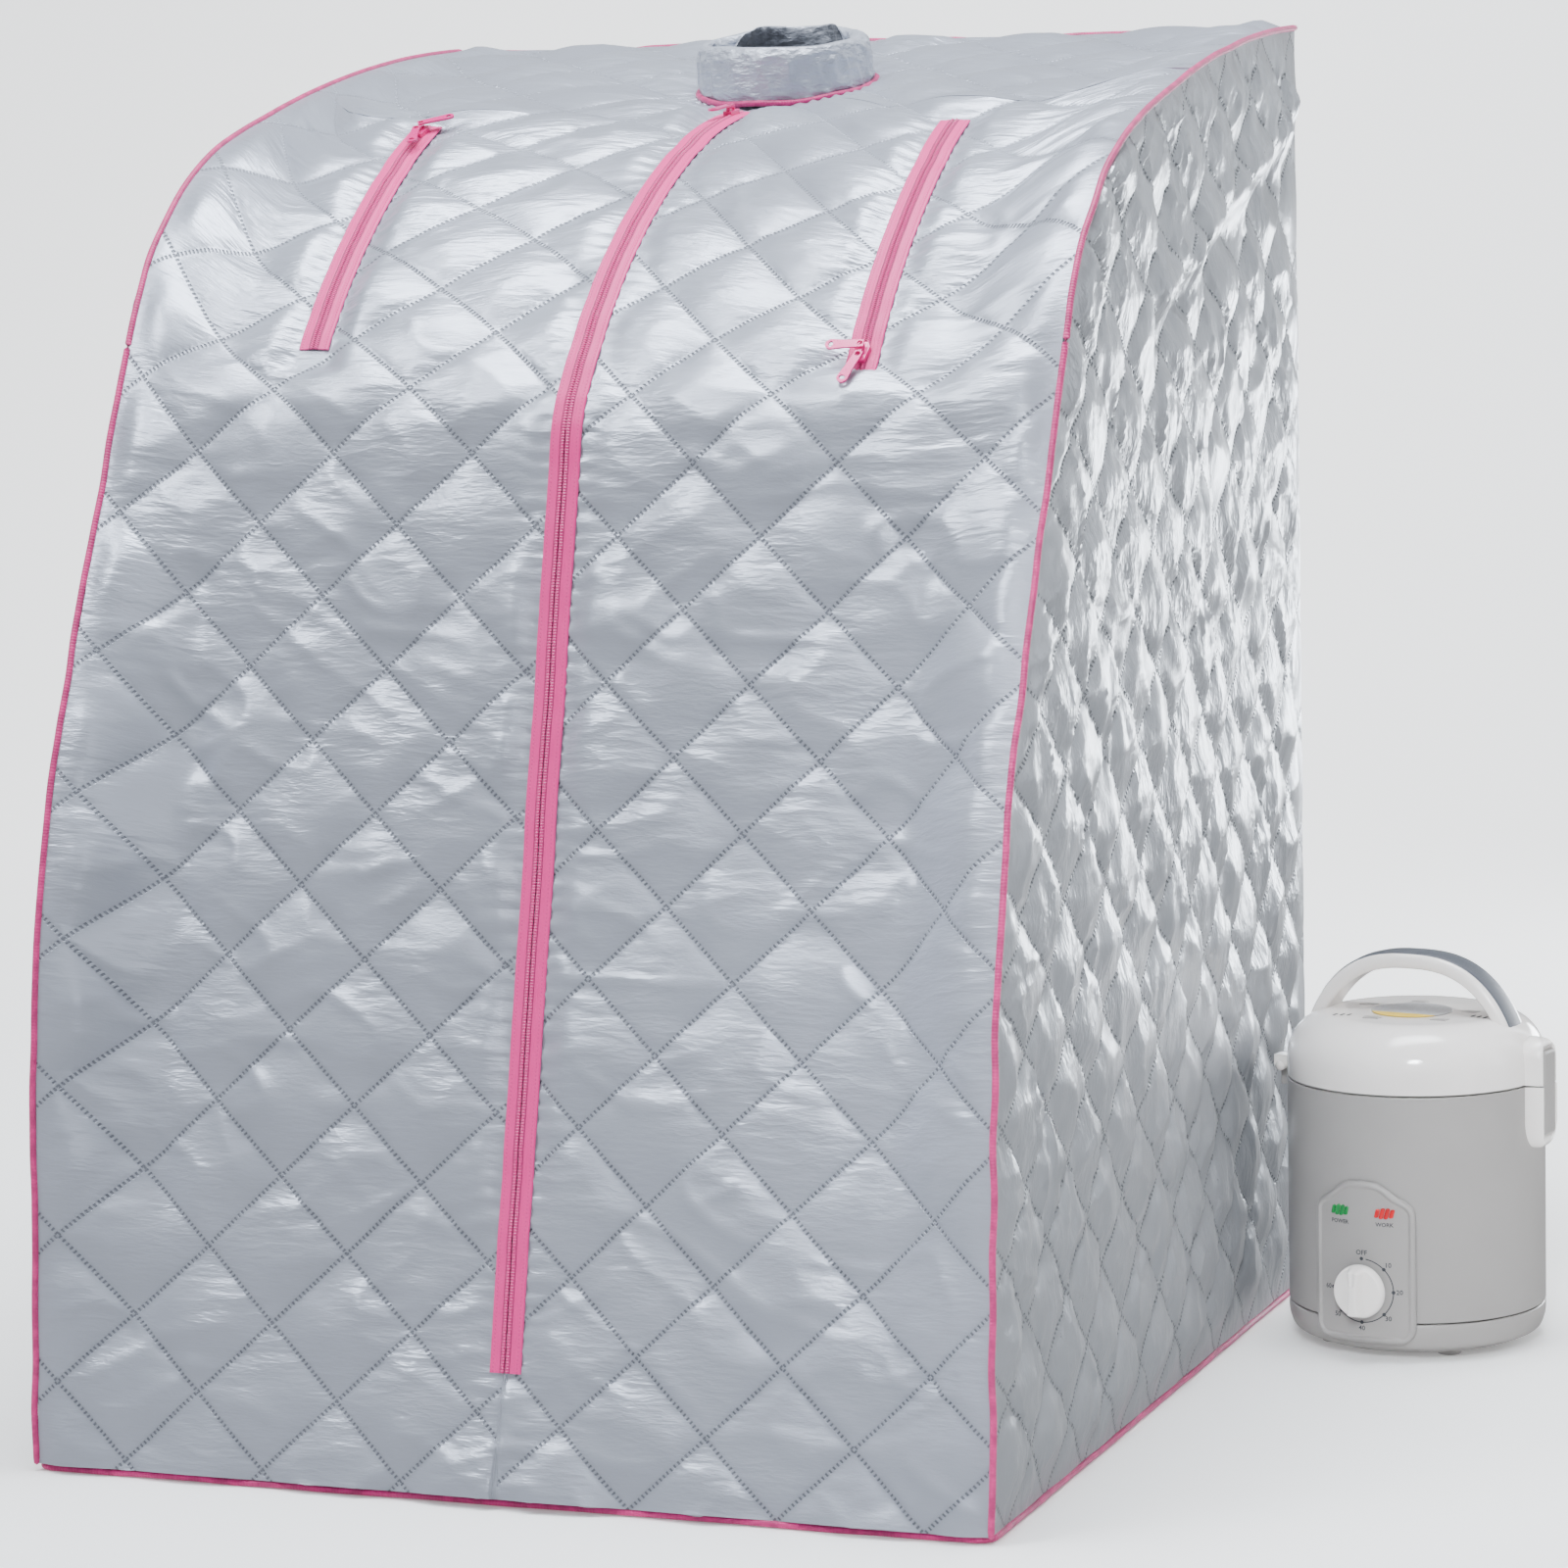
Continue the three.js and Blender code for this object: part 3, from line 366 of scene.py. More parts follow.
MIDDLE = cloth_outline(*ZIP_ARC)
ARM = cloth_outline(*ARM_ARC)
LENGTHS = [np.linalg.norm(np.diff(s, axis=0), axis=1).sum() for s in MIDDLE]
KNOTS = np.r_[0, np.cumsum(LENGTHS)]          # distances up the cloth at the three rods
ARM_ZIPS = (("left", -1, 5.4, 33.0), ("right", 1, 3.0, 32.0))     # turns at the two ends
ARM_ZIP_V = KNOTS[1] + LENGTHS[1] * 18.3 / ARM_ARC[2]


def skin(x, v):
    """The cloth's outer face at x and at a distance v up the middle of the cloth. It blends the
    outline of the middle, of the arm zips and of the hoops by distance from the middle."""
    x, v = np.broadcast_arrays(x, v)
    t = np.interp(v, KNOTS, [0, 1, 2, 3])
    k = np.clip(np.floor(t).astype(int), 0, 2)

    def along(outline):
        out = np.empty(t.shape + (2,))
        for n in range(3):
            out[k == n] = at_share(outline[n], t[k == n] - n)
        return out

    arm = smooth(np.abs(x) / ARM_X)[..., None]
    edge = smooth((np.abs(x) - FOLD_X) / (HALF_WIDTH - FOLD_X))[..., None]
    cloth = along(MIDDLE) * (1 - arm) + along(ARM) * arm
    return cloth * (1 - edge) + along(SIDE) * edge


def soft_skin(x, v):
    """The skin with its bend over the lower shoulder rod eased: a mean over 28 mm of cloth."""
    spread = np.linspace(-0.014, 0.014, 7)
    near = smooth(1.0 - np.abs(v - KNOTS[1]) / 0.03)
    points = [skin(x, np.clip(v + s * near, 0, KNOTS[3])) for s in spread]
    yz = np.mean(points, axis=0)
    return np.concatenate([np.broadcast_to(x, yz.shape[:-1])[..., None], yz], -1)


def height_to_v(z):
    return z / math.cos(math.radians(DOOR_LEAN))


def on_front(x, v):
    """A point of the flat front, before it is quilted."""
    lean = math.radians(DOOR_LEAN)
    return x, FRONT_Y + v * math.sin(lean), v * math.cos(lean)


# ---- quilting
def quilt(u, v, width, height, power=0.62):
    """Pillows between two sets of slanting stitch lines: the product of two sines, whose root
    makes the valleys sharp."""
    a, b = u / width + v / height, u / width - v / height
    return np.abs(np.sin(np.pi * a) * np.sin(np.pi * b)) ** power


def away_from_zips(x, v):
    """0 under a zip's tape, rising to 1 a hand's width away."""
    main = smooth((np.abs(x) - 0.0105) / 0.022)
    main = np.where(v > height_to_v(DOOR_BOTTOM) - 0.004, main, 1.0)
    on_arm = smooth((np.abs(v - ARM_ZIP_V) - 0.168) / 0.012)
    arm = np.maximum(smooth((np.abs(np.abs(x) - ARM_X) - 0.0105) / 0.022), on_arm)
    return main * arm


def front_relief(x, v):
    """Height of the front and top cloth above its backing."""
    c = cloth_settings()
    u, w = quilt_uv(x, v)
    edge = smooth((EDGE_X - np.abs(x)) / 0.022) * smooth((KNOTS[3] - v) / 0.02)
    free = away_from_zips(x, v)
    puff = c.puff * quilt(u, w, c.diamond_width, c.diamond_height)
    slack = 0.6 + 0.4 * smooth((0.80 - v) / 0.2)
    bend = 0.5 * noise(x / 0.05, v / 0.05, 5)
    here = smooth(0.45 + 0.9 * noise(x / 0.06, v / 0.045, 14))
    there = smooth(0.30 + 1.1 * noise(x / 0.05, v / 0.06, 15))
    level = creases(x / 0.085 + bend, v / 0.024 + bend, 11) * here
    slant = creases((x + 0.6 * v) / 0.07, (v - 0.5 * x) / 0.026, 12) * there
    other = creases((x - 0.7 * v) / 0.07, (v + 0.6 * x) / 0.03, 16) * (1 - here)
    tiny = creases(x / 0.030, v / 0.010 + bend, 13) * smooth(0.2 + noise(x / 0.07, v / 0.05, 17))
    folds = c.crinkle * slack * (1.2 * level + 1.1 * slant + 1.0 * other + 0.3 * tiny)

    def gathers(from_zip, fade, pitch, seed):
        ripple = v / pitch + 0.4 * noise(x / 0.02, v / 0.02, seed)
        return np.exp(-np.maximum(from_zip - 0.012, 0) / fade) * np.sin(2 * np.pi * ripple)

    pucker = gathers(np.abs(x), 0.016, 0.0125, 21)
    pucker += (gathers(np.abs(np.abs(x) - ARM_X), 0.012, 0.014, 22)
               * (np.abs(v - ARM_ZIP_V) < 0.165))
    sag = 0.004 * noise(x / 0.17, v / 0.14, 31)
    beside = np.minimum(smooth((np.abs(x) - 0.009) / 0.004),
                        smooth((np.abs(np.abs(x) - ARM_X) - 0.009) / 0.004))
    return ((puff + 1.5 * folds) * (0.04 + 0.96 * free) * edge + 0.0011 * pucker * beside
            + sag * edge * free)


def quilt_uv(x, v):
    """Cloth coordinates counted from a crossing of the stitch lines. The two halves of the front
    are cut from the roll half a diamond apart."""
    return np.where(x < 0, x + 0.1226, x - 0.0425), np.where(x < 0, v - 0.562, v - 0.555)


def cloth_uv(x, v):
    return np.stack(np.broadcast_arrays(*quilt_uv(*np.broadcast_arrays(x, v))), -1)


def cloth_panel(name, x, v, nodes, body="cabinet"):
    """A stretched quilted panel: the skin over rows of v and columns of x, raised along its
    normals by the relief."""
    base = soft_skin(x, v)
    n = -normals_of(base)
    points = base + n * front_relief(x, v)[..., None]
    piece = surface(name, points, cloth_uv(x, v), flip=True)
    return finish_cloth(piece, nodes, body)


def crisp_rim(mesh):
    """Marks the open edges as sharp, so that the rim doesn't shade the face beside it."""
    used = np.empty(len(mesh.loops), np.int32)
    mesh.loops.foreach_get("edge_index", used)
    rim = np.bincount(used, minlength=len(mesh.edges)) == 1
    mesh.attributes.new("sharp_edge", "BOOLEAN", "EDGE").data.foreach_set("value", rim)


def finish_cloth(piece, nodes, body="cabinet", finish="silver_satin"):
    c = cloth_settings()
    crisp_rim(piece.data)
    wall = piece.modifiers.new("padding", "SOLIDIFY")
    wall.thickness = c.thickness
    wall.offset = -1
    wall.use_rim = True
    dress(piece, finish, nodes, body)
    return piece


def dress(piece, finish, nodes=(), body=None):
    """Gives a piece its finish, the frame's nodes it stands for and the body it rides on."""
    piece.data.materials.clear()
    piece.data.materials.append(finish_named(finish))
    if nodes:
        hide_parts(*nodes)
    if body:
        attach(piece, body)
    return piece


# ---- shader maths
class Link:
    """An output of a node. Arithmetic on it adds Math nodes."""

    def __init__(self, shader, socket):
        self.shader, self.socket = shader, socket

    def maths(self, operation, *values):
        return self.shader.node("ShaderNodeMath", {"operation": operation}, values)

    def __abs__(self):
        return self.maths("ABSOLUTE", self)

    def cosine(self):
        return self.maths("COSINE", self)

    def to_line(self):
        """Distance to the nearest whole number."""
        return abs(self - self.maths("ROUND", self))

    def between(self, low, high, start=0.0, stop=1.0):
        """Eased from start at low to stop at high."""
        return self.shader.node(
            "ShaderNodeMapRange", {"interpolation_type": "SMOOTHSTEP"},
            {"Value": self, "From Min": low, "From Max": high, "To Min": start, "To Max": stop})


def arithmetic(operation, swapped=False):
    if swapped:
        return lambda self, other: self.maths(operation, other, self)
    return lambda self, other: self.maths(operation, self, other)


for sign, operation in (("add", "ADD"), ("sub", "SUBTRACT"), ("mul", "MULTIPLY")):
    setattr(Link, f"__{sign}__", arithmetic(operation))
    setattr(Link, f"__r{sign}__", arithmetic(operation, True))
Link.__truediv__ = arithmetic("DIVIDE")


class Shader:
    """A material under construction, with its Principled node and its coordinates."""

    def __init__(self, name):
        self.material = bpy.data.materials.new(name)
        self.material.use_nodes = True
        self.tree = self.material.node_tree
        self.surface = self.tree.nodes["Principled BSDF"]

    def node(self, kind, settings=None, inputs=(), output=0):
        made = self.tree.nodes.new(kind)
        for key, value in (settings or {}).items():
            setattr(made, key, value)
        for key, value in (inputs.items() if isinstance(inputs, dict) else enumerate(inputs)):
            if isinstance(value, Link):
                self.tree.links.new(value.socket, made.inputs[key])
            else:
                made.inputs[key].default_value = value
        return Link(self, made.outputs[output])

    def coordinates(self, kind="Object"):
        return self.node("ShaderNodeTexCoord", output=kind)

    def split(self, vector):
        parts = self.node("ShaderNodeSeparateXYZ", inputs=(vector,))
        outputs = parts.socket.node.outputs
        return [Link(self, outputs[k]) for k in range(3)]

    def stretched(self, vector, scale, offset=(0, 0, 0)):
        return self.node("ShaderNodeVectorMath", {"operation": "MULTIPLY_ADD"},
                         (vector, scale, offset))

    def cloud(self, vector, scale=(1, 1, 1), detail=2.0, rough=0.5, offset=(0, 0, 0)):
        return self.node("ShaderNodeTexNoise", {},
                         {"Vector": self.stretched(vector, scale, offset), "Scale": 1.0,
                          "Detail": detail, "Roughness": rough})

    def tint(self, factor, first, second):
        made = self.tree.nodes.new("ShaderNodeMix")
        made.data_type = "RGBA"
        sockets = [s for s in made.inputs if s.enabled]
        for socket, value in zip(sockets, (factor, first, second)):
            if isinstance(value, Link):
                self.tree.links.new(value.socket, socket)
            elif isinstance(value, (tuple, list)):
                socket.default_value = (*value, 1.0)
            else:
                socket.default_value = value
        return Link(self, next(s for s in made.outputs if s.enabled))

    def bump(self, height):
        """A normal from a height in metres."""
        return self.node("ShaderNodeBump", {}, {"Strength": 1.0, "Distance": 1.0,
                                                "Height": height}, "Normal")

    def finish(self, **sockets):
        """Sets the Principled node: a link is linked and a plain value is set."""
        for key, value in sockets.items():
            socket = self.surface.inputs[key.replace("_", " ")]
            if isinstance(value, Link):
                self.tree.links.new(value.socket, socket)
            elif isinstance(value, (tuple, list)) and len(value) == 3:
                socket.default_value = (*value, 1.0)
            else:
                socket.default_value = value
        return self.material


# ---- finishes
MADE = {}


def darker(colour, by):
    return tuple(by * c for c in colour)


def stitched(u, v, width, height, pitch=0.0034):
    """Dashes along both sets of stitch lines, and the crease that the thread pulls in."""
    reach = width * height / math.hypot(width, height)
    turns = 2 * math.pi * (math.hypot(width, height) / 2) / pitch
    a, b = u / width + v / height, u / width - v / height
    da, db = a.to_line() * reach, b.to_line() * reach
    dash_a, dash_b = (line.between(0.0017, 0.0009) * (run * turns).cosine().between(-0.3, 0.6)
                      for line, run in ((da, b), (db, a)))
    near = da.maths("MINIMUM", da, db)
    return dash_a.maths("MAXIMUM", dash_a, dash_b), near.between(0.005, 0.0)


def cloth_finish(name, colour, width, height, metal, rough, crinkle, tall):
    """Quilted satin. Creases run along the weave, and are finer than the modelled folds."""
    s = Shader(name)
    uv = s.coordinates("UV")
    u, v, _ = s.split(uv)
    dash, crease_and_shade = stitched(u, v, width, height)
    fade = v.between(0.34, 0.52, 1.0, 0.4)
    dash, crease_and_shade = dash * fade, crease_and_shade * fade
    slow = s.cloud(uv, (9, 9, 1), 2.0)
    wide = s.cloud(uv, (14 * tall[0], 60 * tall[1], 1), 4.0, 0.55)
    fine = s.cloud(uv, (60 * tall[0], 190 * tall[1], 1), 4.0, 0.6, (3.1, 1.7, 0))
    ridge = 1.0 - abs(wide - 0.5) * 4.0
    small = 1.0 - abs(fine - 0.5) * 4.0
    thread = s.cloud(uv, (2200, 260, 1), 1.0)
    gather = s.cloud(uv, (150, 150, 1), 2.0, offset=(7, 0, 0))
    height_m = (ridge * slow.between(0.35, 0.6) * crinkle + small * (crinkle * 0.12)
                + gather * crease_and_shade * 0.0009 - crease_and_shade * 0.0006 - dash * 0.0009 + thread * 0.00002)
    body = s.tint(slow.between(0.3, 0.7), darker(colour, 0.9), colour)
    # painted shade: the base colour is darkened near the stitch lines, where shade falls in the
    # crease
    body = s.tint(crease_and_shade * 0.22, body, darker(colour, 0.5))
    body = s.tint(dash * 0.7, body, darker(colour, 0.22))
    return s.finish(Base_Color=body, Metallic=metal,
                    Roughness=(fine * 0.12 + (rough - 0.06) + dash * 0.25),
                    Normal=s.bump(height_m), Sheen_Weight=0.15, Sheen_Roughness=0.35)


def silver_satin():
    c = cloth_settings()
    return cloth_finish("silver_satin", tuple(c.silver), c.diamond_width, c.diamond_height,
                        0.48, 0.37, 0.0009, (1, 1))


def silver_foil():
    c = cloth_settings()
    return cloth_finish("silver_foil", tuple(c.foil), *FOIL_DIAMOND, 0.62, 0.30, 0.0013,
                        (3.0, 0.3))


def collar_satin():
    s = Shader("collar_satin")
    here = s.coordinates()
    wide = s.cloud(here, (40, 40, 90), 4.0, 0.55)
    ridge = 1.0 - abs(wide - 0.5) * 4.0
    fine = s.cloud(here, (300, 300, 500), 3.0)
    c = tuple(cloth_settings().silver)
    return s.finish(Base_Color=s.tint(wide.between(0.3, 0.7), darker(c, 0.88), c), Metallic=0.3,
                    Roughness=fine * 0.1 + 0.36, Normal=s.bump(ridge * 0.0016 + fine * 0.0002),
                    Sheen_Weight=0.15)


def lining():
    s = Shader("floor_lining")
    here = s.coordinates()
    x, y, _ = s.split(here)
    rib = (x * (2 * math.pi / 0.05)).cosine() * 0.5 + (y * (2 * math.pi / 0.05)).cosine() * 0.5
    wide = s.cloud(here, (18, 18, 18), 4.0)
    c = darker(tuple(cloth_settings().silver), 0.8)
    return s.finish(Base_Color=s.tint(wide, darker(c, 0.8), c), Roughness=wide * 0.2 + 0.35,
                    Metallic=0.3, Normal=s.bump(rib * 0.0006 + wide * 0.002))


def shaded_pink_piping():
    s = Shader("shaded_pink_piping")
    uv = s.coordinates("UV")
    along, _, _ = s.split(uv)
    twist = (along * (2 * math.pi / 0.0022)).cosine()
    gather = s.cloud(uv, (90, 1, 1), 3.0)
    c = tuple(bpy.context.scene.sauna_trim.pink)
    # painted shade: the piping takes the trim pink at only 0.5 to 0.74 of its strength, darker than
    # the zip tape's pink, to stand for the shade along it; the cloudy spread between the two is
    # random tone
    body = s.tint(gather.between(0.35, 0.65), darker(c, 0.5), darker(c, 0.74))
    return s.finish(Base_Color=body, Roughness=gather * 0.2 + 0.38, Sheen_Weight=0.2,
                    Normal=s.bump(twist * 0.00008 + gather * 0.0006))


def zip_tape():
    """Woven tape: UV x is the distance from the zip's middle, and y the distance along it."""
    s = Shader("zip_tape")
    uv = s.coordinates("UV")
    across, along, _ = s.split(uv)
    pitch = bpy.context.scene.sauna_trim.coil_pitch
    side = abs(across)
    tooth = (along * (2 * math.pi / pitch)).cosine()
    coil = side.between(0.0036, 0.0028)
    groove_and_shade = side.between(0.0007, 0.0002) + abs(side - 0.0034).between(0.0006, 0.0001)
    rib = (across * (2 * math.pi / 0.0011)).cosine()
    weave = s.cloud(uv, (900, 900, 1), 2.0)
    dashes = (along * (2 * math.pi / 0.0028)).cosine().between(-0.2, 0.5)
    stitch = abs(side - 0.0088).between(0.0006, 0.0002) * dashes
    c = tuple(bpy.context.scene.sauna_trim.pink)
    body = s.tint(weave, darker(c, 0.85), tuple(min(1.0, 1.1 * k) for k in c))
    body = s.tint(coil * 0.35, body, darker(c, 0.7))
    # painted shade: the gaps between and beside the coil rows are darkened in the base colour,
    # where shade falls in them
    body = s.tint(groove_and_shade.between(0.0, 1.0) * 0.8, body, darker(c, 0.28))
    body = s.tint(stitch * 0.5, body, darker(c, 0.6))
    height_m = (coil * tooth * 0.00025 - groove_and_shade * 0.0004 + (1.0 - coil) * rib * 0.00004
                - stitch * 0.0002)
    return s.finish(Base_Color=body, Roughness=0.5 - coil * 0.15, Normal=s.bump(height_m),
                    Sheen_Weight=0.15)


def moulded(name, colour, rough, grain, coat=0.0, metal=0.0, scratch=0.00003):
    """Plain moulded or drawn stock: a little unevenness in the gloss and a very fine grain."""
    s = Shader(name)
    here = s.coordinates()
    broad = s.cloud(here, (22, 22, 22), 3.0)
    fine = s.cloud(here, (grain, grain, grain), 3.0)
    body = s.tint(broad.between(0.3, 0.7), darker(colour, 0.96), colour)
    return s.finish(Base_Color=body, Roughness=broad * 0.07 + fine * 0.05 + (rough - 0.06),
                    Metallic=metal, Normal=s.bump(fine * scratch + broad * 0.0002),
                    Coat_Weight=coat, Coat_Roughness=0.08)


def spun_aluminium():
    s = Shader("spun_aluminium")
    here = s.coordinates()
    place = s.stretched(here, (1, 1, 1), (-GENERATOR["x"], -GENERATOR["y"], 0))
    x, y, z = s.split(place)
    radius = (x * x + y * y).maths("SQRT", x * x + y * y)
    rings = (radius * 9000.0 + z * 9000.0).cosine()
    broad = s.cloud(here, (30, 30, 30), 3.0)
    return s.finish(Base_Color=s.tint(broad, (0.60, 0.61, 0.62), (0.72, 0.73, 0.74)), Metallic=1.0,
                    Roughness=broad * 0.15 + 0.24, Normal=s.bump(rings * 0.000006))


def lamp_finish(name, colour):
    s = Shader(name)
    here = s.coordinates()
    cell = s.cloud(here, (900, 900, 900), 1.0)
    body = s.tint(cell, darker(colour, 0.8), colour)
    return s.finish(Base_Color=body, Roughness=cell * 0.1 + 0.15, Coat_Weight=0.5,
                    Normal=s.bump(cell * 0.00008))


def label_print():
    """A two-tone disc: grey foil with a warm band along its front."""
    s = Shader("label_print")
    here = s.coordinates()
    x, y, _ = s.split(s.stretched(here, (1, 1, 1), (-GENERATOR["x"], -GENERATOR["y"], 0)))
    turn = GENERATOR["turn"]
    front = y * math.cos(turn) - x * math.sin(turn)
    warm = front.between(-0.0215, -0.0225)
    lines = (front * (2 * math.pi / 0.0034)).cosine().between(0.5, 0.8)
    words = s.cloud(here, (650, 90, 1), 2.0).between(0.42, 0.52)
    inside = front.between(-0.020, -0.019) * front.between(0.016, 0.015)
    body = s.tint(lines * words * inside * 0.35, (0.42, 0.42, 0.43), (0.16, 0.16, 0.17))
    body = s.tint(warm, body, (0.80, 0.55, 0.05))
    return s.finish(Base_Color=body, Roughness=words * 0.05 + 0.32, Metallic=0.1)


SPECIAL = {make.__name__: make for make in (
    silver_satin, silver_foil, collar_satin, lining, shaded_pink_piping, zip_tape, spun_aluminium,
    label_print)}
LAMPS = {"green_lamp": (0.004, 0.24, 0.05), "red_lamp": (0.62, 0.004, 0.012)}
# Colour, roughness and grain, then moulded()'s other values.
PLAIN = {
    "white_gloss": lambda g, pink: (tuple(g.shell), 0.16, 900, 0.5),
    # painted shade: the same white moulding as white_gloss, at only 0.36 of the shell colour, so
    # that the generator's body, panel and fittings read as shaded
    "shaded_white_satin": lambda g, pink: (darker(tuple(g.shell), 0.36), 0.34, 2600, 0.1, 0.0, 0.00004),
    "grip_rubber": lambda g, pink: (tuple(g.grip), 0.42, 2400, 0.0, 0.0, 0.0001),
    "grey_plastic": lambda g, pink: ((0.22, 0.23, 0.25), 0.45, 1500, 0.0, 0.0, 0.00008),
    "pink_enamel": lambda g, pink: (pink, 0.28, 800, 0.5, 0.1),
    "bright_steel": lambda g, pink: ((0.62, 0.63, 0.64), 0.30, 1200, 0.0, 1.0),
    "white_tube": lambda g, pink: ((0.75, 0.75, 0.73), 0.4, 1500, 0.1),
    "dark_plastic": lambda g, pink: ((0.02, 0.02, 0.023), 0.5, 1500, 0.0, 0.0, 0.00008),
    "silicone": lambda g, pink: ((0.62, 0.60, 0.56), 0.55, 800),
    "slot_shadow": lambda g, pink: ((0.008, 0.008, 0.009), 0.7, 700),
    "dial_ink": lambda g, pink: ((0.03, 0.032, 0.04), 0.45, 2200)}


def finish_named(name):
    """Each finish is made once and then shared."""
    if name not in MADE:
        scene = bpy.context.scene
        if name in SPECIAL:
            MADE[name] = SPECIAL[name]()
        elif name in LAMPS:
            MADE[name] = lamp_finish(name, LAMPS[name])
        else:
            MADE[name] = moulded(name, *PLAIN[name](scene.sauna_generator,
                                                    tuple(scene.sauna_trim.pink)))
    return MADE[name]


# ---- cabinet: cloth
def rows_and_columns(x0, x1, v0, v1, cell):
    """Grid lines of x and v about a cell apart."""
    v = np.linspace(v0, v1, max(4, int(round((v1 - v0) / cell)) + 1))
    x = np.linspace(x0, x1, max(4, int(round(abs(x1 - x0) / cell)) + 1))
    return x[None, :], v[:, None]


# Where the opening is widest, and how far its bend reaches into a piece of the usual slope.
LIPS = {"split": 0.400, "reach": 0.150, "slope": 0.762}


def build_front_halves():
    """Each half of the front is two pieces that meet at the widest point of the opening. A piece
    stays with the cabinet above a slanting line, and turns with the door beyond it."""
    low, high = height_to_v(DOOR_BOTTOM), height_to_v(DOOR_TOP)
    middle = LIPS["split"]
    for side, sign in (("left", -1), ("right", 1)):
        for part, v0, v1 in (("lower", low, middle), ("upper", middle, high)):
            x, v = rows_and_columns(sign * 0.0006, sign * EDGE_X, v0, v1, 0.0038)
            base = soft_skin(x, v)
            n = -sign * normals_of(base)
            points = base + n * front_relief(x, v)[..., None]
            piece = surface(f"front_cloth_{side}_{part}", points, cloth_uv(x, v),
                            flip=sign > 0)
            node = f"door_{side}" if part == "upper" else f"front_band_{side}"
            finish_cloth(piece, [node], body=None)
            lips(piece, sign, v0 if part == "lower" else v1)


def lips(piece, sign, corner_v):
    """Bends a piece from the cabinet to the door, across a line from the zip's end to the fold."""
    middle = LIPS["split"]
    corner = np.array([0.0, corner_v])
    fold = np.array([FOLD_X, middle])
    across = (fold - corner) / np.linalg.norm(fold - corner)
    towards = np.array([-across[1], across[0]])
    if towards @ (np.array([0.0, middle]) - fold) < 0:
        towards = -towards
    start = (corner + fold) / 2
    reach = LIPS["reach"] * abs(towards[0]) / LIPS["slope"]
    end = start + towards * reach
    on_front(sign * start[0], start[1])
    on_front(sign * end[0], end[1])
    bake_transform(piece)


def build_hem_and_shoulder():
    x, v = rows_and_columns(-EDGE_X, EDGE_X, HEM, height_to_v(DOOR_BOTTOM), 0.004)
    cloth_panel("front_hem_cloth", x, v, ["front_hem_panel"])
    x, v = rows_and_columns(-EDGE_X, EDGE_X, height_to_v(DOOR_TOP), KNOTS[2], 0.0038)
    cloth_panel("shoulder_cloth", x, v, ["shoulder_panel"])


def build_top_cloth():
    """The top runs from the neck hole out to a rectangle: rings of points eased from a circle to
    the rectangle's four sides, in the cloth's own coordinates."""
    slope = (TOP - MIDDLE[2][0]) / np.linalg.norm(TOP - MIDDLE[2][0])
    centre = np.array([NECK["x"], KNOTS[2] + (NECK["y"] - MIDDLE[2][0][0]) / slope[0]])
    angle = full_turn(480)
    ray = np.stack([np.cos(angle), np.sin(angle)], 1)
    low, high = np.array([-EDGE_X, KNOTS[2]]), np.array([EDGE_X, KNOTS[3] - 0.004])
    with np.errstate(divide="ignore"):
        far = np.where(ray > 0, (high - centre) / ray, (low - centre) / ray)
    reach = np.abs(far).min(1)
    share = np.linspace(0, 1, 56)[:, None] ** 1.15
    distance = (NECK["radius"] + 0.004) * (1 - share) + reach[None] * share
    x = centre[0] + distance * ray[:, 0]
    v = centre[1] + distance * ray[:, 1]
    base = soft_skin(x, v)
    e = 1e-4
    du = soft_skin(x + e, v) - base
    dv = soft_skin(x, np.clip(v + e, 0, KNOTS[3])) - base
    n = np.cross(du, dv)
    n /= np.linalg.norm(n, axis=2, keepdims=True)
    round_neck = smooth((distance - NECK["radius"] - 0.008) / 0.05)
    gathers = 0.0010 * np.sin(angle * 34 + 2 * noise(angle * 3, distance * 20, 41)) * (
        np.exp(-(distance - NECK["radius"]) / 0.03))
    lift = front_relief(x, v) * (0.2 + 0.8 * round_neck) + gathers
    points = base + n * lift[..., None]
    uv = cloth_uv(x, v)
    piece = surface("top_cloth", points, np.concatenate([uv, uv[:, :1]], 1), (False, True))
    return finish_cloth(piece, ["top_panel"])


def side_patch(cell=0.0044):
    """(y, z) over a side wall: a patch whose four edges are the floor, the front and shoulder, the
    top and the rear, with the inside blended from the edges."""
    sections = side_outline(0.0016)
    whole = np.vstack([sections[0], sections[1][1:], sections[2][1:]])
    lengths = run_of(whole)
    corner = 0.66
    u = np.linspace(0, 1, int(0.8 / cell))[:, None, None]
    w = np.linspace(0, 1, int(0.95 / cell))[None, :, None]
    start = HEM / lengths[-1]
    front = at_share(whole, start + (corner - start) * w[0, :, 0])[None]
    top = at_share(whole, corner + (1 - corner) * u[:, 0, 0])[:, None]
    top[..., 0] = np.minimum(top[..., 0], REAR_Y - 0.0002)
    bottom = np.array([front[0, 0, 0], HEM]) * (1 - u) + np.array([REAR_Y, HEM]) * u
    rear = np.array([REAR_Y, HEM]) * (1 - w) + top[-1, 0] * w
    ruled = bottom * (1 - w) + top * w + front * (1 - u) + rear * u
    corners = (bottom[0, 0] * (1 - u) * (1 - w) + bottom[-1, 0] * u * (1 - w)
               + front[0, -1] * (1 - u) * w + top[-1, 0] * u * w)
    return ruled - corners, u[..., 0], w[..., 0]


def foil_uv(y, z):
    """Coordinates of the side cloth, counted from a crossing of its stitch lines."""
    return y + 0.114, z - 0.705


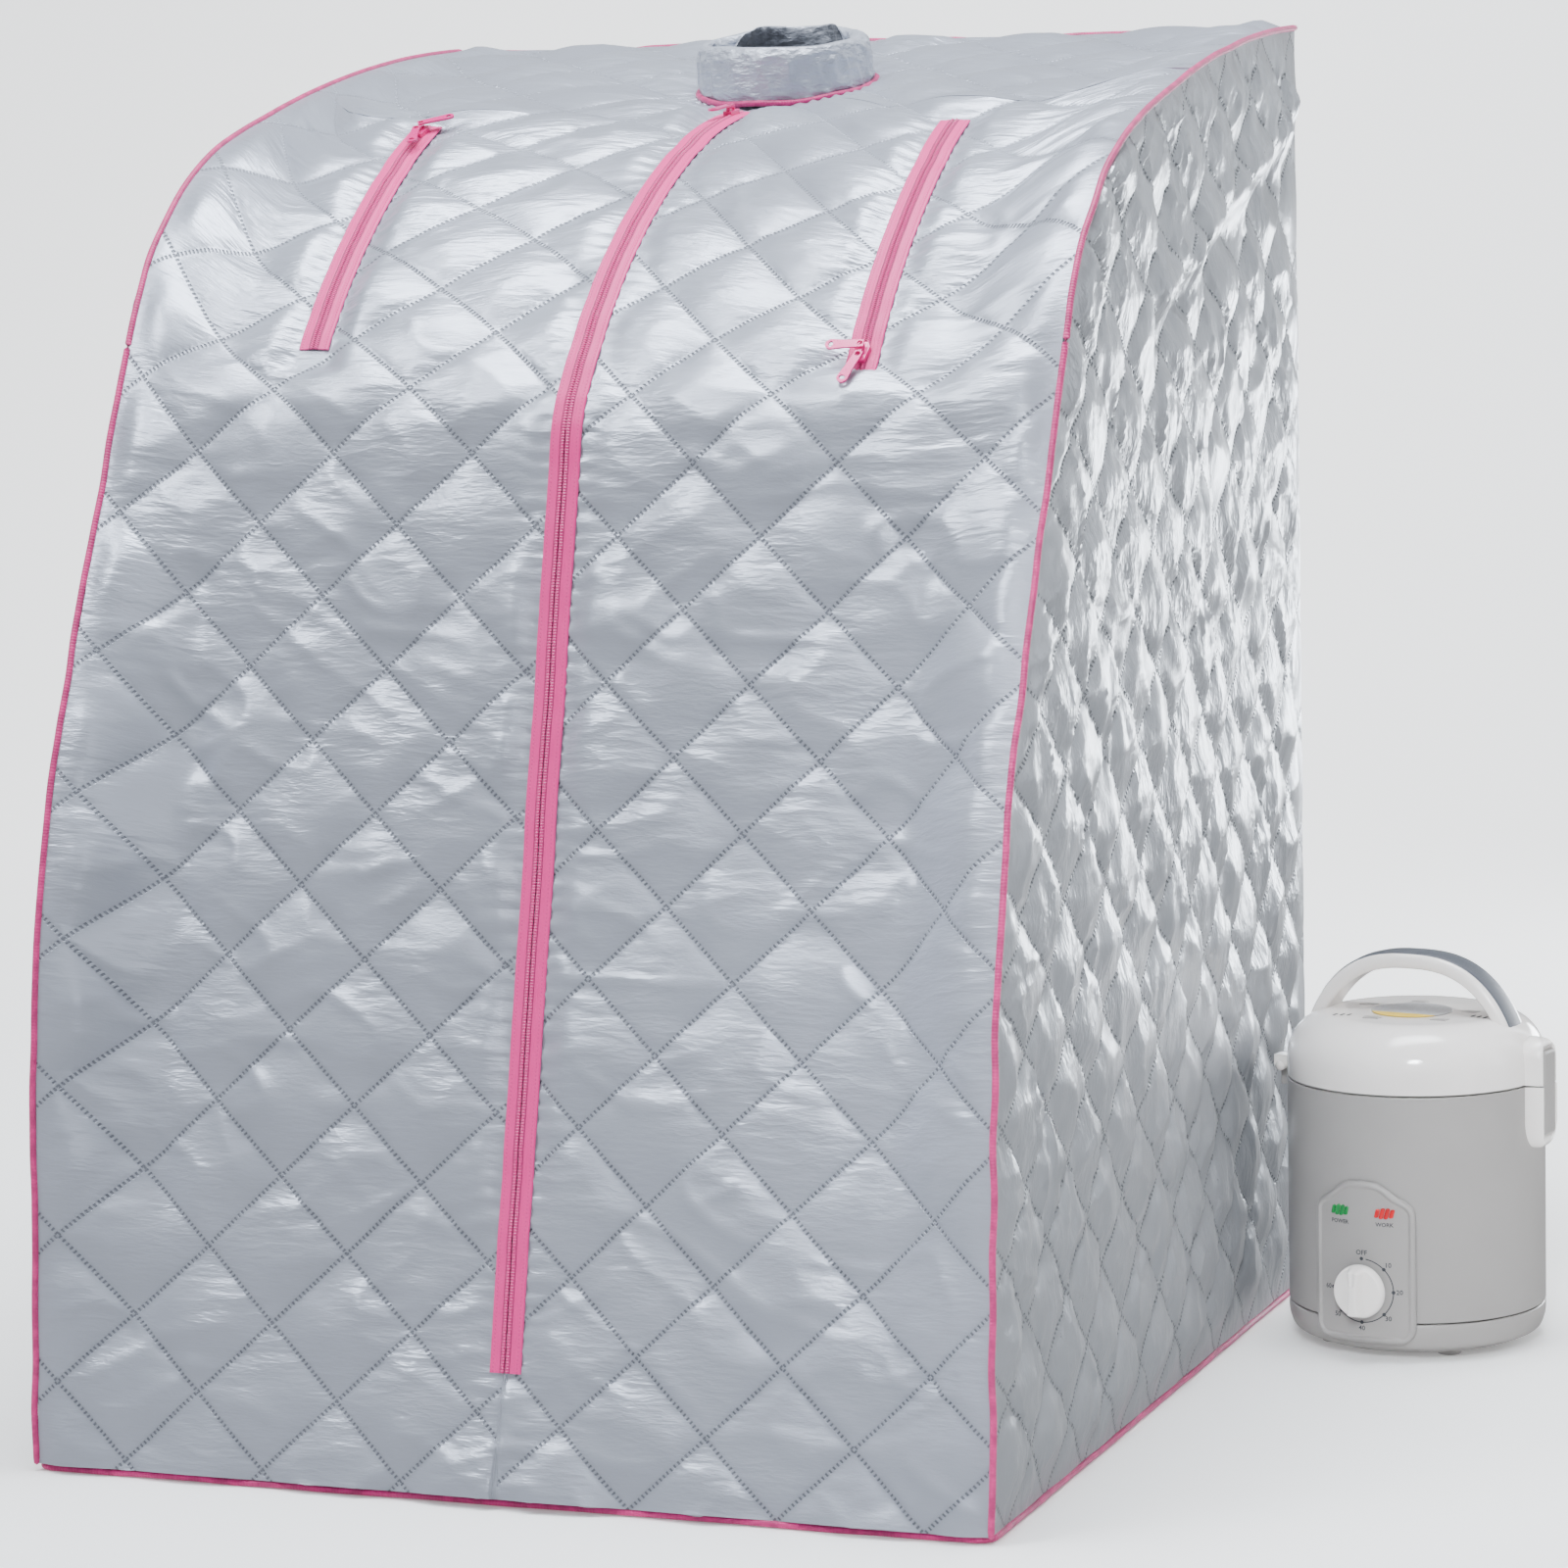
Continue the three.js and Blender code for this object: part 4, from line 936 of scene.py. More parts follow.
def foil_relief(y, z, u, w, seed):
    """Height of the shiny side cloth: pillows, gathers that run in from the piping, fine tall
    creases, and one long slanting fold below the top."""
    c = cloth_settings()
    inside = smooth(u / 0.04) * smooth((1 - u) / 0.07) * smooth(w / 0.04) * smooth((1 - w) / 0.04)
    puff = 1.05 * c.puff * quilt(*foil_uv(y, z), *FOIL_DIAMOND, 0.66)
    bend = 0.5 * noise(y / 0.05, z / 0.05, seed)
    here = smooth(0.4 + noise(y / 0.05, z / 0.05, seed + 5))
    tall = creases(y / 0.016 + bend, z / 0.05, seed + 1) * here
    mixed = creases((y + 0.5 * z) / 0.03, (z - 0.4 * y) / 0.04, seed + 2) * (1 - 0.6 * here)
    tiny = creases(y / 0.008 + bend, z / 0.02, seed + 3)
    folds = c.crinkle * (2.2 * tall + 2.0 * mixed + 0.6 * tiny)
    from_front = creases(w * 60 + 2 * bend, u * 6, seed + 6) * np.exp(-u / 0.06)
    from_top = creases(u * 52 + 2 * bend + 0 * w, w * 8, seed + 7) * np.exp(-(1 - w) / 0.09)
    gathers = 0.0036 * (from_front + from_top)
    off = (z - 0.78) * 0.95 - (y + 0.03) * 0.31
    fold = 0.007 * np.exp(-(off / 0.016) ** 2) - 0.005 * np.exp(-((off + 0.03) / 0.018) ** 2)
    fold = fold * smooth((y + 0.10) / 0.15)
    bulge = 0.006 * np.sin(np.pi * u) * np.sin(np.pi * w)
    bulge = bulge + 0.004 * noise(y / 0.2, z / 0.17, seed + 4)
    return (puff + folds + bulge + fold) * (0.1 + 0.9 * inside) + gathers * inside - 0.001


def build_side_cloths():
    for side, sign, seed in (("left", -1, 60), ("right", 1, 70)):
        yz, u, w = side_patch()
        y, z = yz[..., 0], yz[..., 1]
        x = sign * (WALL_X + 0.006 + foil_relief(y, z, u, w, seed))
        uv = np.stack(foil_uv(y, z), -1)
        piece = surface(f"side_cloth_{side}", np.stack([x, y, z], -1), uv, flip=sign < 0)
        finish_cloth(piece, [f"side_panel_{side}"], finish="silver_foil")


def build_back_cloth():
    port = np.array([0.250, 0.120])
    x, z = rows_and_columns(-EDGE_X, EDGE_X, HEM, TOP[1] - 0.004, 0.0046)
    x, z = np.broadcast_arrays(x, z)
    c = cloth_settings()
    inside = smooth((EDGE_X - np.abs(x)) / 0.03) * smooth((z - HEM) / 0.02)
    tall = creases(x / 0.03 + 0.4 * noise(x / 0.06, z / 0.06, 81), z / 0.09, 82)
    relief = (c.puff * quilt(x, z, *FOIL_DIAMOND) + 1.5 * c.crinkle * tall) * inside
    gap = np.hypot(x - port[0], z - port[1])
    relief = relief * smooth((gap - 0.03) / 0.03)
    y = REAR_Y - 0.004 + relief
    points = np.stack([x, y, z], -1)
    piece = surface("back_cloth", points, np.stack([x, z], -1))
    mesh = piece.data
    middle = np.empty(len(mesh.polygons) * 3)
    mesh.polygons.foreach_get("center", middle)
    middle = middle.reshape(-1, 3)
    # The faces inside the port's ring are taken out.
    hole = np.hypot(middle[:, 0] - port[0], middle[:, 2] - port[1]) < 0.0255
    with editing(mesh) as made:
        made.faces.ensure_lookup_table()
        bmesh.ops.delete(made, geom=[made.faces[k] for k in np.flatnonzero(hole)], context="FACES")
    finish_cloth(piece, ["back_panel"], finish="silver_foil")


def build_floor_cloth():
    half = WALL_X - 0.001
    x, y = rows_and_columns(-half, half, FRONT_Y + 0.016, REAR_Y - 0.012, 0.012)
    x, y = np.broadcast_arrays(x, y)
    z = 0.0026 + 0.0012 * np.abs(np.sin(np.pi * x / 0.05) * np.sin(np.pi * y / 0.05)) ** 0.5
    piece = surface("floor_cloth", np.stack([x, y, z], -1), np.stack([x, y], -1), flip=True)
    wall = piece.modifiers.new("padding", "SOLIDIFY")
    wall.thickness, wall.offset = 0.0025, -1
    dress(piece, "lining", ["floor_mat"], body="cabinet")


# ---- cabinet: collar
def neck_frame(points):
    """From the neck's own axes, with +Z up its axis, to the cabinet's."""
    middle = MIDDLE[2][0]
    slope = math.atan2(TOP[1] - middle[1], TOP[0] - middle[0])
    z0 = middle[1] + (NECK["y"] - middle[0]) * math.tan(slope)
    x, y, z = points[..., 0], points[..., 1], points[..., 2]
    return np.stack([x + NECK["x"], y * math.cos(slope) - z * math.sin(slope) + NECK["y"],
                     y * math.sin(slope) + z * math.cos(slope) + z0], -1)


def build_collar():
    """A stuffed band round the neck: a tall rounded section carried round a circle. A second,
    thinner band lies inside it and leans across the opening."""
    angle = full_turn(260)[:, None]
    turn = full_turn(56)[None]
    height, wall = NECK["height"], NECK["wall"]
    front = np.exp(-((angle - 1.5 * np.pi) / 1.1) ** 2)
    rise = height * (0.84 + 0.14 * front + 0.03 * noise(angle * 2.2, 0 * angle, 91))
    thick = wall * (1.0 + 0.2 * noise(angle * 3, 0 * angle, 92))
    r = np.sign(np.cos(turn)) * np.abs(np.cos(turn)) ** 0.7 * thick / 2
    z = (np.sign(np.sin(turn)) * np.abs(np.sin(turn)) ** 0.45 * 0.5 + 0.5) * rise + 0.001
    wrinkle = 0.0018 * creases(angle * 5 + turn * 0.5, turn * 2.4, 93) + 0.0014 * noise(
        angle * 9, turn * 2, 94)
    ring = NECK["radius"] + wall / 2 + r + np.cos(turn) * wrinkle
    ring = ring - 0.007 * (z / height) ** 2 * (0.6 + 0.4 * np.cos(3 * angle))
    points = np.stack([ring * np.cos(angle), ring * np.sin(angle), z + 0 * angle], -1)
    band = surface("collar_band", neck_frame(points), None, (True, True), flip=True)
    dress(band, "collar_satin", ["neck_collar"], body="cabinet")

    angle = np.linspace(0.15 * np.pi, 1.02 * np.pi, 150)[:, None]
    turn = full_turn(40)[None]
    thick = 0.004 * np.sin(np.pi * (angle - angle[0]) / (angle[-1] - angle[0])) ** 0.3 + 0.0003
    lean = 0.010 + 0.012 * smooth((angle - 0.5 * np.pi) / 1.2)
    z = (np.sin(turn) * 0.5 + 0.5) * (height * (0.92 + 0.06 * np.sin(angle * 3.1)))
    ring = NECK["radius"] - 0.003 - lean * (z / height) ** 1.5 + np.cos(turn) * thick
    ring = ring + 0.0016 * noise(angle * 8, z / 0.012, 95)
    points = np.stack([ring * np.cos(angle), ring * np.sin(angle), z + 0.002 + 0 * angle], -1)
    flap = surface("collar_inner_band", neck_frame(points), None, (False, True), True, True)
    dress(flap, "collar_satin", ["collar_flap"], body="cabinet")

    angle = full_turn(140)
    ring = NECK["radius"] + NECK["wall"] + 0.0012 + 0.0008 * np.sin(5 * angle)
    path = neck_frame(np.stack([ring * np.cos(angle), ring * np.sin(angle),
                                0.0040 + 0.0006 * np.sin(7 * angle)], -1))
    piping = tube("collar_piping", path, 0.0024, 10, closed=True)
    dress(piping, "shaded_pink_piping", body="cabinet")


# ---- cabinet: piping
def build_piping():
    r = bpy.context.scene.sauna_trim.piping_radius
    lean = math.radians(HOOP_LEAN)
    o = Outline(FRONT_Y + HEM * math.tan(lean), HEM, HOOP_LEAN)
    o.line(HOOP_LEG - HEM / math.cos(lean)).arc(*HOOP_KNEE).line(0.239)
    o.arc(*HOOP_SHOULDER).arc(HOOP_TOP, 14.1)
    whole = o.section()
    for side, sign in (("left", -1), ("right", 1)):
        share = np.linspace(0, 1, 340)
        yz = at_share(whole, share)
        x = sign * (HALF_WIDTH - r) + 0.0009 * noise(share * 40, 0 * share, 101 + sign)
        path = np.column_stack([x, yz])
        piece = tube(f"side_piping_{side}", path, r, 12)
        dress(piece, "shaded_pink_piping", [f"piping_{side}"], body="cabinet")
    x = np.linspace(-WALL_X, WALL_X, 200)
    wobble = 0.0012 * noise(x * 28 + 50, 0 * x, 105)
    path = np.column_stack([x, TOP[0] - 0.001 + wobble, TOP[1] - 0.003 + 2 * wobble])
    piece = tube("rear_piping", path, r, 12)
    dress(piece, "shaded_pink_piping", ["piping_rear_top"], body="cabinet")
    half, front, rear = HALF_WIDTH - 0.0035, FRONT_Y + 0.0025, REAR_Y - 0.0025
    corners = [(0, rear), (half, rear), (half, front), (-half, front), (-half, rear), (0, rear)]
    loop = rounded(corners, 0.012, 7)
    lengths = run_of(loop)
    s = np.linspace(0, lengths[-1], 620, endpoint=False)
    path = np.column_stack([np.interp(s, lengths, loop[:, 0]), np.interp(s, lengths, loop[:, 1]),
                            np.full_like(s, 0.0027) + 0.0004 * noise(s * 30, 0 * s, 107)])
    piece = tube("base_piping", path, r, 10, closed=True)
    dress(piece, "shaded_pink_piping", ["piping_base"], body="cabinet")


# ---- cabinet: zips
def zip_section(w):
    """Height of the tape and coil above the cloth, by distance from the middle: a flat tape with
    two round rows of teeth."""
    side = np.abs(w)
    teeth = 0.0011 * np.exp(-((side - 0.0016) / 0.0009) ** 2)
    edge = smooth((0.0115 - side) / 0.0008)
    return (0.0010 + teeth + 0.0003 * smooth((0.0062 - side) / 0.001)) * edge


def zip_strip(name, x0, w0, w1, v0, v1, nodes):
    """A strip of zip on the cloth. Its rows follow the skin, and its columns the zip's section."""
    v = np.linspace(v0, v1, int((v1 - v0) / 0.002) + 1)[:, None]
    w = np.linspace(w0, w1, int(abs(w1 - w0) / 0.0005) + 1)[None]
    x = x0 + w + 0.0006 * noise(v / 0.06, 0 * v + x0, 111)
    base = soft_skin(np.full_like(x, x0), v)
    base[..., 0] = x
    n = -normals_of(base)
    wave = 0.0005 * noise(v / 0.02, 0 * v + x0, 112)
    points = base + n * (0.0011 + zip_section(w) + wave)[..., None]
    uv = np.stack(np.broadcast_arrays(w, v), -1)
    piece = surface(name, points, uv, flip=True)
    crisp_rim(piece.data)
    wall = piece.modifiers.new("tape", "SOLIDIFY")
    wall.thickness, wall.offset = 0.0011, -1
    dress(piece, "zip_tape", nodes)
    return piece


def build_zips():
    half = bpy.context.scene.sauna_trim.tape_width / 2
    per_degree = LENGTHS[1] / ZIP_ARC[2]
    high = height_to_v(DOOR_TOP)
    upper = zip_strip("main_zip_over_shoulder", 0.0, -half, half, high,
                      KNOTS[1] + 47.4 * per_degree, ["main_zip_upper"])
    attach(upper, "cabinet")
    low, middle = height_to_v(DOOR_BOTTOM), LIPS["split"]
    for side, sign in (("left", -1), ("right", 1)):
        for part, v0, v1 in (("lower", low, middle), ("upper", middle, high)):
            w = (-half, -0.0002) if sign < 0 else (0.0002, half)
            nodes = [f"main_zip_{side}"] if part == "upper" else []
            piece = zip_strip(f"main_zip_{side}_{part}", 0.0, *w, v0, v1, nodes)
            lips(piece, sign, v0 if part == "lower" else v1)
    for side, sign, *turns in ARM_ZIPS:
        v0, v1 = (KNOTS[1] + LENGTHS[1] * turn / ARM_ARC[2] for turn in turns)
        piece = zip_strip(f"arm_zip_tape_{side}", sign * ARM_X, -half, half, v0, v1,
                          [f"arm_zip_{side}"])
        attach(piece, "cabinet")
    seam = np.linspace(HEM + 0.002, low, 40)
    base = soft_skin(np.zeros_like(seam)[:, None], seam[:, None])[:, 0]
    base[:, 1] -= 0.0010
    piece = tube("hem_seam", base, 0.0010, 8, flatten=0.6)
    dress(piece, "collar_satin", body="cabinet")


# ---- pieces that keep a node's shape
def refined(node, finish, body, bevel=0.0005, segments=2, angle=35):
    """A node's shape with its points merged, its flat faces whole and its edges eased."""
    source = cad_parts[node]
    mesh = source.data.copy()
    with editing(mesh) as made:
        bmesh.ops.remove_doubles(made, verts=made.verts, dist=1e-6)
        bmesh.ops.dissolve_limit(made, angle_limit=math.radians(1), verts=made.verts,
                                 edges=made.edges)
        bmesh.ops.recalc_face_normals(made, faces=made.faces)
    mesh.polygons.foreach_set("use_smooth", np.ones(len(mesh.polygons), bool))
    mesh.set_sharp_from_angle(angle=math.radians(angle))
    piece = linked(f"{node}_cover", mesh)
    if bevel:
        edge = piece.modifiers.new("eased", "BEVEL")
        edge.width, edge.segments, edge.limit_method = bevel, segments, "ANGLE"
        edge.angle_limit = math.radians(angle)
        edge.harden_normals = True
    dress(piece, finish, [node], body=body)
    return piece


def build_sliders():
    bodies = {"main_slider": "main_slider_body", "main_pull": "main_pull_body",
              "arm_slider_left": "left_arm_slider", "arm_pull_left_low": "left_arm_pull_low",
              "arm_pull_left_high": "left_arm_pull_high", "arm_slider_right": "right_arm_slider",
              "arm_pull_right_low": "right_arm_pull_low",
              "arm_pull_right_high": "right_arm_pull_high"}
    for node, body in bodies.items():
        refined(node, "pink_enamel", body, 0.0004)


def build_rod_frame():
    for node in ("hoop_left", "hoop_right"):
        refined(node, "bright_steel", "cabinet", 0, angle=65)
    for node in ("rod_lower_shoulder", "rod_upper_shoulder", "rod_rear_top", "rod_front_floor",
                 "rod_rear_floor"):
        refined(node, "white_tube", "cabinet", 0.0008, angle=40)
    refined("steam_port", "grey_plastic", "cabinet", 0.0008)


# ---- steam generator
def to_world(points):
    """From the generator's own axes, whose front is -Y, to the cabinet's."""
    c, s = math.cos(GENERATOR["turn"]), math.sin(GENERATOR["turn"])
    x, y, z = points[..., 0], points[..., 1], points[..., 2]
    return np.stack([x * c - y * s + GENERATOR["x"], x * s + y * c + GENERATOR["y"], z], -1)


def build_generator_body():
    facets = bpy.context.scene.sauna_generator.facets
    R = POT_RADIUS
    pan = rounded([(0.0, 0.003), (0.076, 0.003), (0.092, 0.0095), (R, 0.020), (R, 0.0286),
                   (R - 0.003, 0.0286), (R - 0.003, 0.021), (0.076, 0.008), (0.0, 0.008)], 0.004, 6)
    feet = []
    for k in range(4):
        a = math.radians(45 + 90 * k)
        profile = rounded([(0.0, 0.0), (0.009, 0.0), (0.009, 0.004), (0.0, 0.004)], 0.0012, 4)
        shift = np.array([0.066 * math.cos(a), 0.066 * math.sin(a), 0.0])
        feet.append(turned(f"foot_{k}", profile, 32, lambda p, shift=shift: to_world(p + shift)))
    base = joined("generator_base", [turned("pan", pan, facets, to_world), *feet])
    dress(base, "shaded_white_satin", ["base_pan"], body="generator")

    wall = rounded([(R - 0.003, 0.1), (R - 0.003, 0.0296), (R, 0.0296), (R, 0.1974),
                    (R - 0.0030, 0.1974), (R - 0.003, 0.0998)], 0.0009, 5)
    shell = turned("generator_shell", wall, facets, to_world)
    dress(shell, "shaded_white_satin", ["body_shell"], body="generator")
    lug = blocks("hinge_lug", [((-0.1058, -0.011, 0.184), (-0.0935, 0.011, 0.1974))])
    knuckle = np.linspace(-0.011, 0.011, 2)

    def barrel(name, ends):
        """A length of the hinge's barrel between two places across the generator."""
        return tube(name, to_world(np.column_stack([np.full(2, -0.101), ends, np.full(2, 0.2)])),
                    0.0047, 20)

    bar = barrel("hinge_barrel", knuckle)
    hinge = joined("hinge_mount", [lug, bar])
    dress(hinge, "shaded_white_satin", body="generator")
    knuckles = []
    for side in (-1, 1):
        ends = side * np.array([0.0117, 0.0235])
        knuckles.append(barrel("knuckle", ends))
        knuckles.append(blocks("knuckle_lug", [((-0.1055, ends.min(), 0.2005),
                                                (-0.0920, ends.max(), 0.2085))]))
    knuckles = joined("lid_knuckles", knuckles)
    dress(knuckles, "white_gloss", body="lid")


def blocks(name, boxes, place=None):
    """Plain boxes, each from its lowest to its highest corner in the generator's axes."""
    place = place or to_world
    made = bmesh.new()
    for low, high in boxes:
        corners = np.array([[(low, high)[i][0], (low, high)[j][1], (low, high)[k][2]]
                            for i in (0, 1) for j in (0, 1) for k in (0, 1)])
        verts = [made.verts.new(p) for p in place(corners).tolist()]
        for face in ((0, 1, 3, 2), (4, 6, 7, 5), (0, 4, 5, 1), (2, 3, 7, 6), (0, 2, 6, 4),
                     (1, 5, 7, 3)):
            made.faces.new([verts[k] for k in face])
    bmesh.ops.recalc_face_normals(made, faces=made.faces)
    mesh = bpy.data.meshes.new(name)
    made.to_mesh(mesh)
    made.free()
    return linked(name, mesh)


def eased(piece, width, segments=3):
    edge = piece.modifiers.new("eased", "BEVEL")
    edge.width, edge.segments = width, segments
    edge.limit_method, edge.angle_limit = "ANGLE", math.radians(40)
    piece.data.polygons.foreach_set("use_smooth", np.ones(len(piece.data.polygons), bool))
    edge.harden_normals = True
    return piece


# ---- control panel
PANEL = {"half": 0.040, "low": 0.014, "shoulder": 0.1215, "top": 0.1345, "corner": 0.012}


def panel_rim(x):
    """Height of the panel's lower and upper edges at x: both are rounded at the corners by a
    quarter circle, and the upper one also rises to a bowed crown."""
    corner = PANEL["corner"]
    over = np.maximum(np.abs(x) - (PANEL["half"] - corner), 0)
    cut = corner - np.sqrt(np.maximum(corner ** 2 - over ** 2, 0))
    crown = (PANEL["top"] - PANEL["shoulder"]) * np.exp(-(np.abs(x) / 0.0235) ** 4)
    return PANEL["low"] + cut, PANEL["shoulder"] - cut + crown


def on_shell(x, z, lift):
    """A point of the generator's front: x is measured round the shell, and lift from it."""
    a = x / POT_RADIUS
    r = POT_RADIUS + lift
    return to_world(np.stack(np.broadcast_arrays(r * np.sin(a), -r * np.cos(a), z), -1))


def build_control_panel():
    x = PANEL["half"] * np.sin(np.linspace(-np.pi / 2, np.pi / 2, 150))[None]
    low, high = panel_rim(x)
    share = 0.5 - 0.5 * np.cos(np.linspace(0, np.pi, 190))[:, None]
    z = low + (high - low) * share
    edge_x = PANEL["half"] * np.sin(np.linspace(-np.pi / 2, np.pi / 2, 160))
    ring = np.vstack([np.column_stack([edge_x, edge]) for edge in panel_rim(edge_x)]
                     + [np.column_stack([np.full(60, side * PANEL["half"]),
                                         np.linspace(0.026, 0.109, 60)]) for side in (-1, 1)])
    gap = np.sqrt((x[..., None] - ring[:, 0]) ** 2 + (z[..., None] - ring[:, 1]) ** 2).min(-1)
    # The border is a round bead. Inside it the face lies a little lower.
    bead = 0.0042 * np.sqrt(np.maximum(1 - ((0.0026 - np.minimum(gap, 0.0026)) / 0.0026) ** 2, 0))
    face = 0.0026 + 0.0016 * smooth((0.0058 - gap) / 0.0022)
    lift = np.where(gap < 0.0026, bead, face) - 0.0004
    piece = surface("control_panel_plate", on_shell(x + 0 * z, z, lift), None)
    dress(piece, "shaded_white_satin", ["control_panel"], body="generator")


def lamp_bars(name, x0, finish, node):
    """Four slanting bars that together fill an oval."""
    bars = []
    for k in range(4):
        middle = (k - 1.5) * 0.0036
        tall = 0.0044 * math.sqrt(1 - (middle / 0.0088) ** 2)
        s = np.linspace(-1, 1, 14)[:, None]
        t = np.linspace(0, np.pi, 9)[None]
        z = s * tall
        half = 0.00166 * np.sqrt(np.maximum(1 - (np.maximum(np.abs(s) - 0.7, 0) / 0.3) ** 2, 0))
        x = x0 + middle + 0.25 * z + half * np.cos(t)
        lift = 0.0022 + 0.0011 * np.sin(t) * np.minimum(1, half / 0.0008)
        place = on_shell(x, 0.1115 + z + 0 * t, lift)
        bars.append(surface("bar", place, None, flip=True, weld=True))
    piece = joined(name, bars)
    dress(piece, finish, [node], body="generator")
    return piece


def build_lamps():
    lamp_bars("power_lamp_bars", -0.0175, "green_lamp", "lamp_power")
    lamp_bars("work_lamp_bars", 0.0175, "red_lamp", "lamp_work")


def lettering(text, size):
    """The outline of a short text as a flat mesh, centred."""
    curve = bpy.data.curves.new("figure", "FONT")
    curve.body, curve.size = text, size
    curve.align_x, curve.align_y = "CENTER", "CENTER"
    curve.extrude, curve.resolution_u, curve.offset = 0.0, 2, 0.00009
    thing = linked("figure", curve)
    graph = bpy.context.evaluated_depsgraph_get()
    mesh = bpy.data.meshes.new_from_object(thing.evaluated_get(graph))
    bpy.data.objects.remove(thing)
    return mesh


def build_dial():
    """A ring broken at its start, a mark at each step, and the minutes beside them."""
    zc, ring = 0.053, 0.0238
    steps = bpy.context.scene.sauna_generator.dial_steps
    parts = []

    def flat(name, x, z):
        return surface(name, on_shell(x, z, 0.0024), None, flip=True)

    a = np.linspace(math.radians(8), math.radians(262), 90)[:, None]
    r = np.array([[ring - 0.0004, ring + 0.0004]])
    parts.append(flat("ring", r * np.sin(a), zc + r * np.cos(a)))

    def printed(text, size, x, z):
        mesh = lettering(text, size)
        flat_points = np.empty(len(mesh.vertices) * 3)
        mesh.vertices.foreach_get("co", flat_points)
        flat_points = flat_points.reshape(-1, 3)
        placed = on_shell(x + flat_points[:, 0], z + flat_points[:, 1], 0.0024)
        mesh.vertices.foreach_set("co", placed.reshape(-1))
        return linked("figure", mesh)

    for k, text in enumerate(["OFF"] + [str(10 * (k + 1)) for k in range(steps)]):
        turn = math.radians(45 * k)
        t = np.linspace(0, 2 * np.pi, 17)[:, None]
        r = np.array([[0.0, 0.0014]])
        parts.append(flat("dot", ring * math.sin(turn) + r * np.sin(t),
                          zc + ring * math.cos(turn) + r * np.cos(t)))
        out = ring + 0.0044
        parts.append(printed(text, 0.0050, out * math.sin(turn), zc + out * math.cos(turn)))
    parts += [printed("POWER", 0.0042, -0.0175, 0.1030), printed("WORK", 0.0042, 0.0175, 0.1030)]
    piece = joined("dial_marks", parts)
    dress(piece, "dial_ink", body="generator")


def build_knob():
    """A round knob with a raised wing: height over a disc, whose wing is a ridge that is flat on
    top, falls away at its sides and is rounded at its ends."""
    angle = full_turn(120)[None]
    radius = np.r_[0.0, np.linspace(0.0004, 0.0190, 60), np.linspace(0.0192, 0.0200, 6)][:, None]
    x, z = radius * np.sin(angle), radius * np.cos(angle)
    rim = 0.0062 * np.sqrt(np.maximum(1 - (np.maximum(radius - 0.0175, 0) / 0.0026) ** 2, 0.02))
    half = 0.0030 + 0.0026 * (np.abs(z) / 0.02) ** 1.5
    wing = smooth((half + 0.0022 - np.abs(x)) / 0.0034) * smooth((0.0196 - radius) / 0.004)
    lift = rim + 0.0085 * wing - 0.0008 * smooth((0.0016 - np.abs(x)) / 0.001) * (z > 0.006) * wing
    back = POT_RADIUS + 0.004 + 0.0012
    body = np.stack([x + 0 * lift, -(back + lift), 0.053 + z + 0 * lift], -1)
    skirt = body[-1:].copy()
    skirt[..., 1] = -back
    piece = surface("timer_knob_cap", to_world(np.concatenate([body, skirt], 0)), None,
                    (False, True), flip=False, weld=True)
    dress(piece, "white_gloss", ["timer_knob"], body="knob")


# ---- lid, handle and latch
def build_lid():
    facets = bpy.context.scene.sauna_generator.facets
    R = POT_RADIUS
    a = np.linspace(0, np.pi / 2, 26)
    outer = np.column_stack([R - 0.034 + 0.034 * np.cos(a) ** 0.94, 0.212 + 0.0338 * np.sin(a)])
    crown = np.linspace(R - 0.036, 0, 24)
    dome = np.column_stack([crown, 0.2458 + 0.0006 * (1 - (crown / 0.06) ** 2)])
    inner = np.column_stack([R - 0.037 + 0.034 * np.cos(a), 0.209 + 0.0335 * np.sin(a)])[::-1]
    profile = np.vstack([dome[::-1], outer[::-1], [[R, 0.1996], [R - 0.0006, 0.1986],
                         [R - 0.003, 0.1986]], inner[-1:]])
    profile = np.vstack([profile, inner[::-1], [[0.0, 0.2425]]])
    lid = turned("lid_dome", profile[::-1], facets, to_world)
    recalc(lid)
    dress(lid, "white_gloss", ["lid_cover"], body="lid")

    slots = []
    for x0, y0, tilt in ((-0.041, -0.040, 0.1), (0.055, -0.008, -0.1)):
        for k in (-1, 0, 1):
            s = np.linspace(0, 2 * np.pi, 25)[:, None]
            r = np.array([[0.0, 1.0]])
            x = x0 + 0.0052 * k + r * 0.0012 * np.cos(s)
            y = y0 + r * 0.0042 * np.sign(np.sin(s)) * np.abs(np.sin(s)) ** 0.6 + tilt * 0.01 * k
            z = 0.2460 + 0.0006 * (1 - (x * x + y * y) / 0.0036)
            slots.append(surface("slot", to_world(np.stack([x, y, z + 0 * x], -1)), None))
    dark = joined("lid_vent_slots", slots)
    dress(dark, "slot_shadow", body="lid")

    plugs = []
    for turn in (20, 105, 160, 250, 320):
        a = math.radians(turn)
        cx, cy = 0.044 * math.cos(a), -0.006 + 0.040 * math.sin(a)
        plugs.append(((cx - 0.0065, cy - 0.004, 0.2440), (cx + 0.0065, cy + 0.004, 0.24665)))
    caps = eased(blocks("lid_plugs", plugs), 0.0008)
    dress(caps, "shaded_white_satin", body="lid")

    disc = rounded([(0.0, 0.2466), (0.030, 0.2466), (0.030, 0.2472), (0.0, 0.2474)], 0.0003, 3)
    label = turned("lid_label_disc", disc, 96, lambda p: to_world(p + np.array([0, -0.006, 0])))
    dress(label, "label_print", ["lid_label"], body="lid")

    refined("steam_outlet", "shaded_white_satin", "lid", 0.0006)


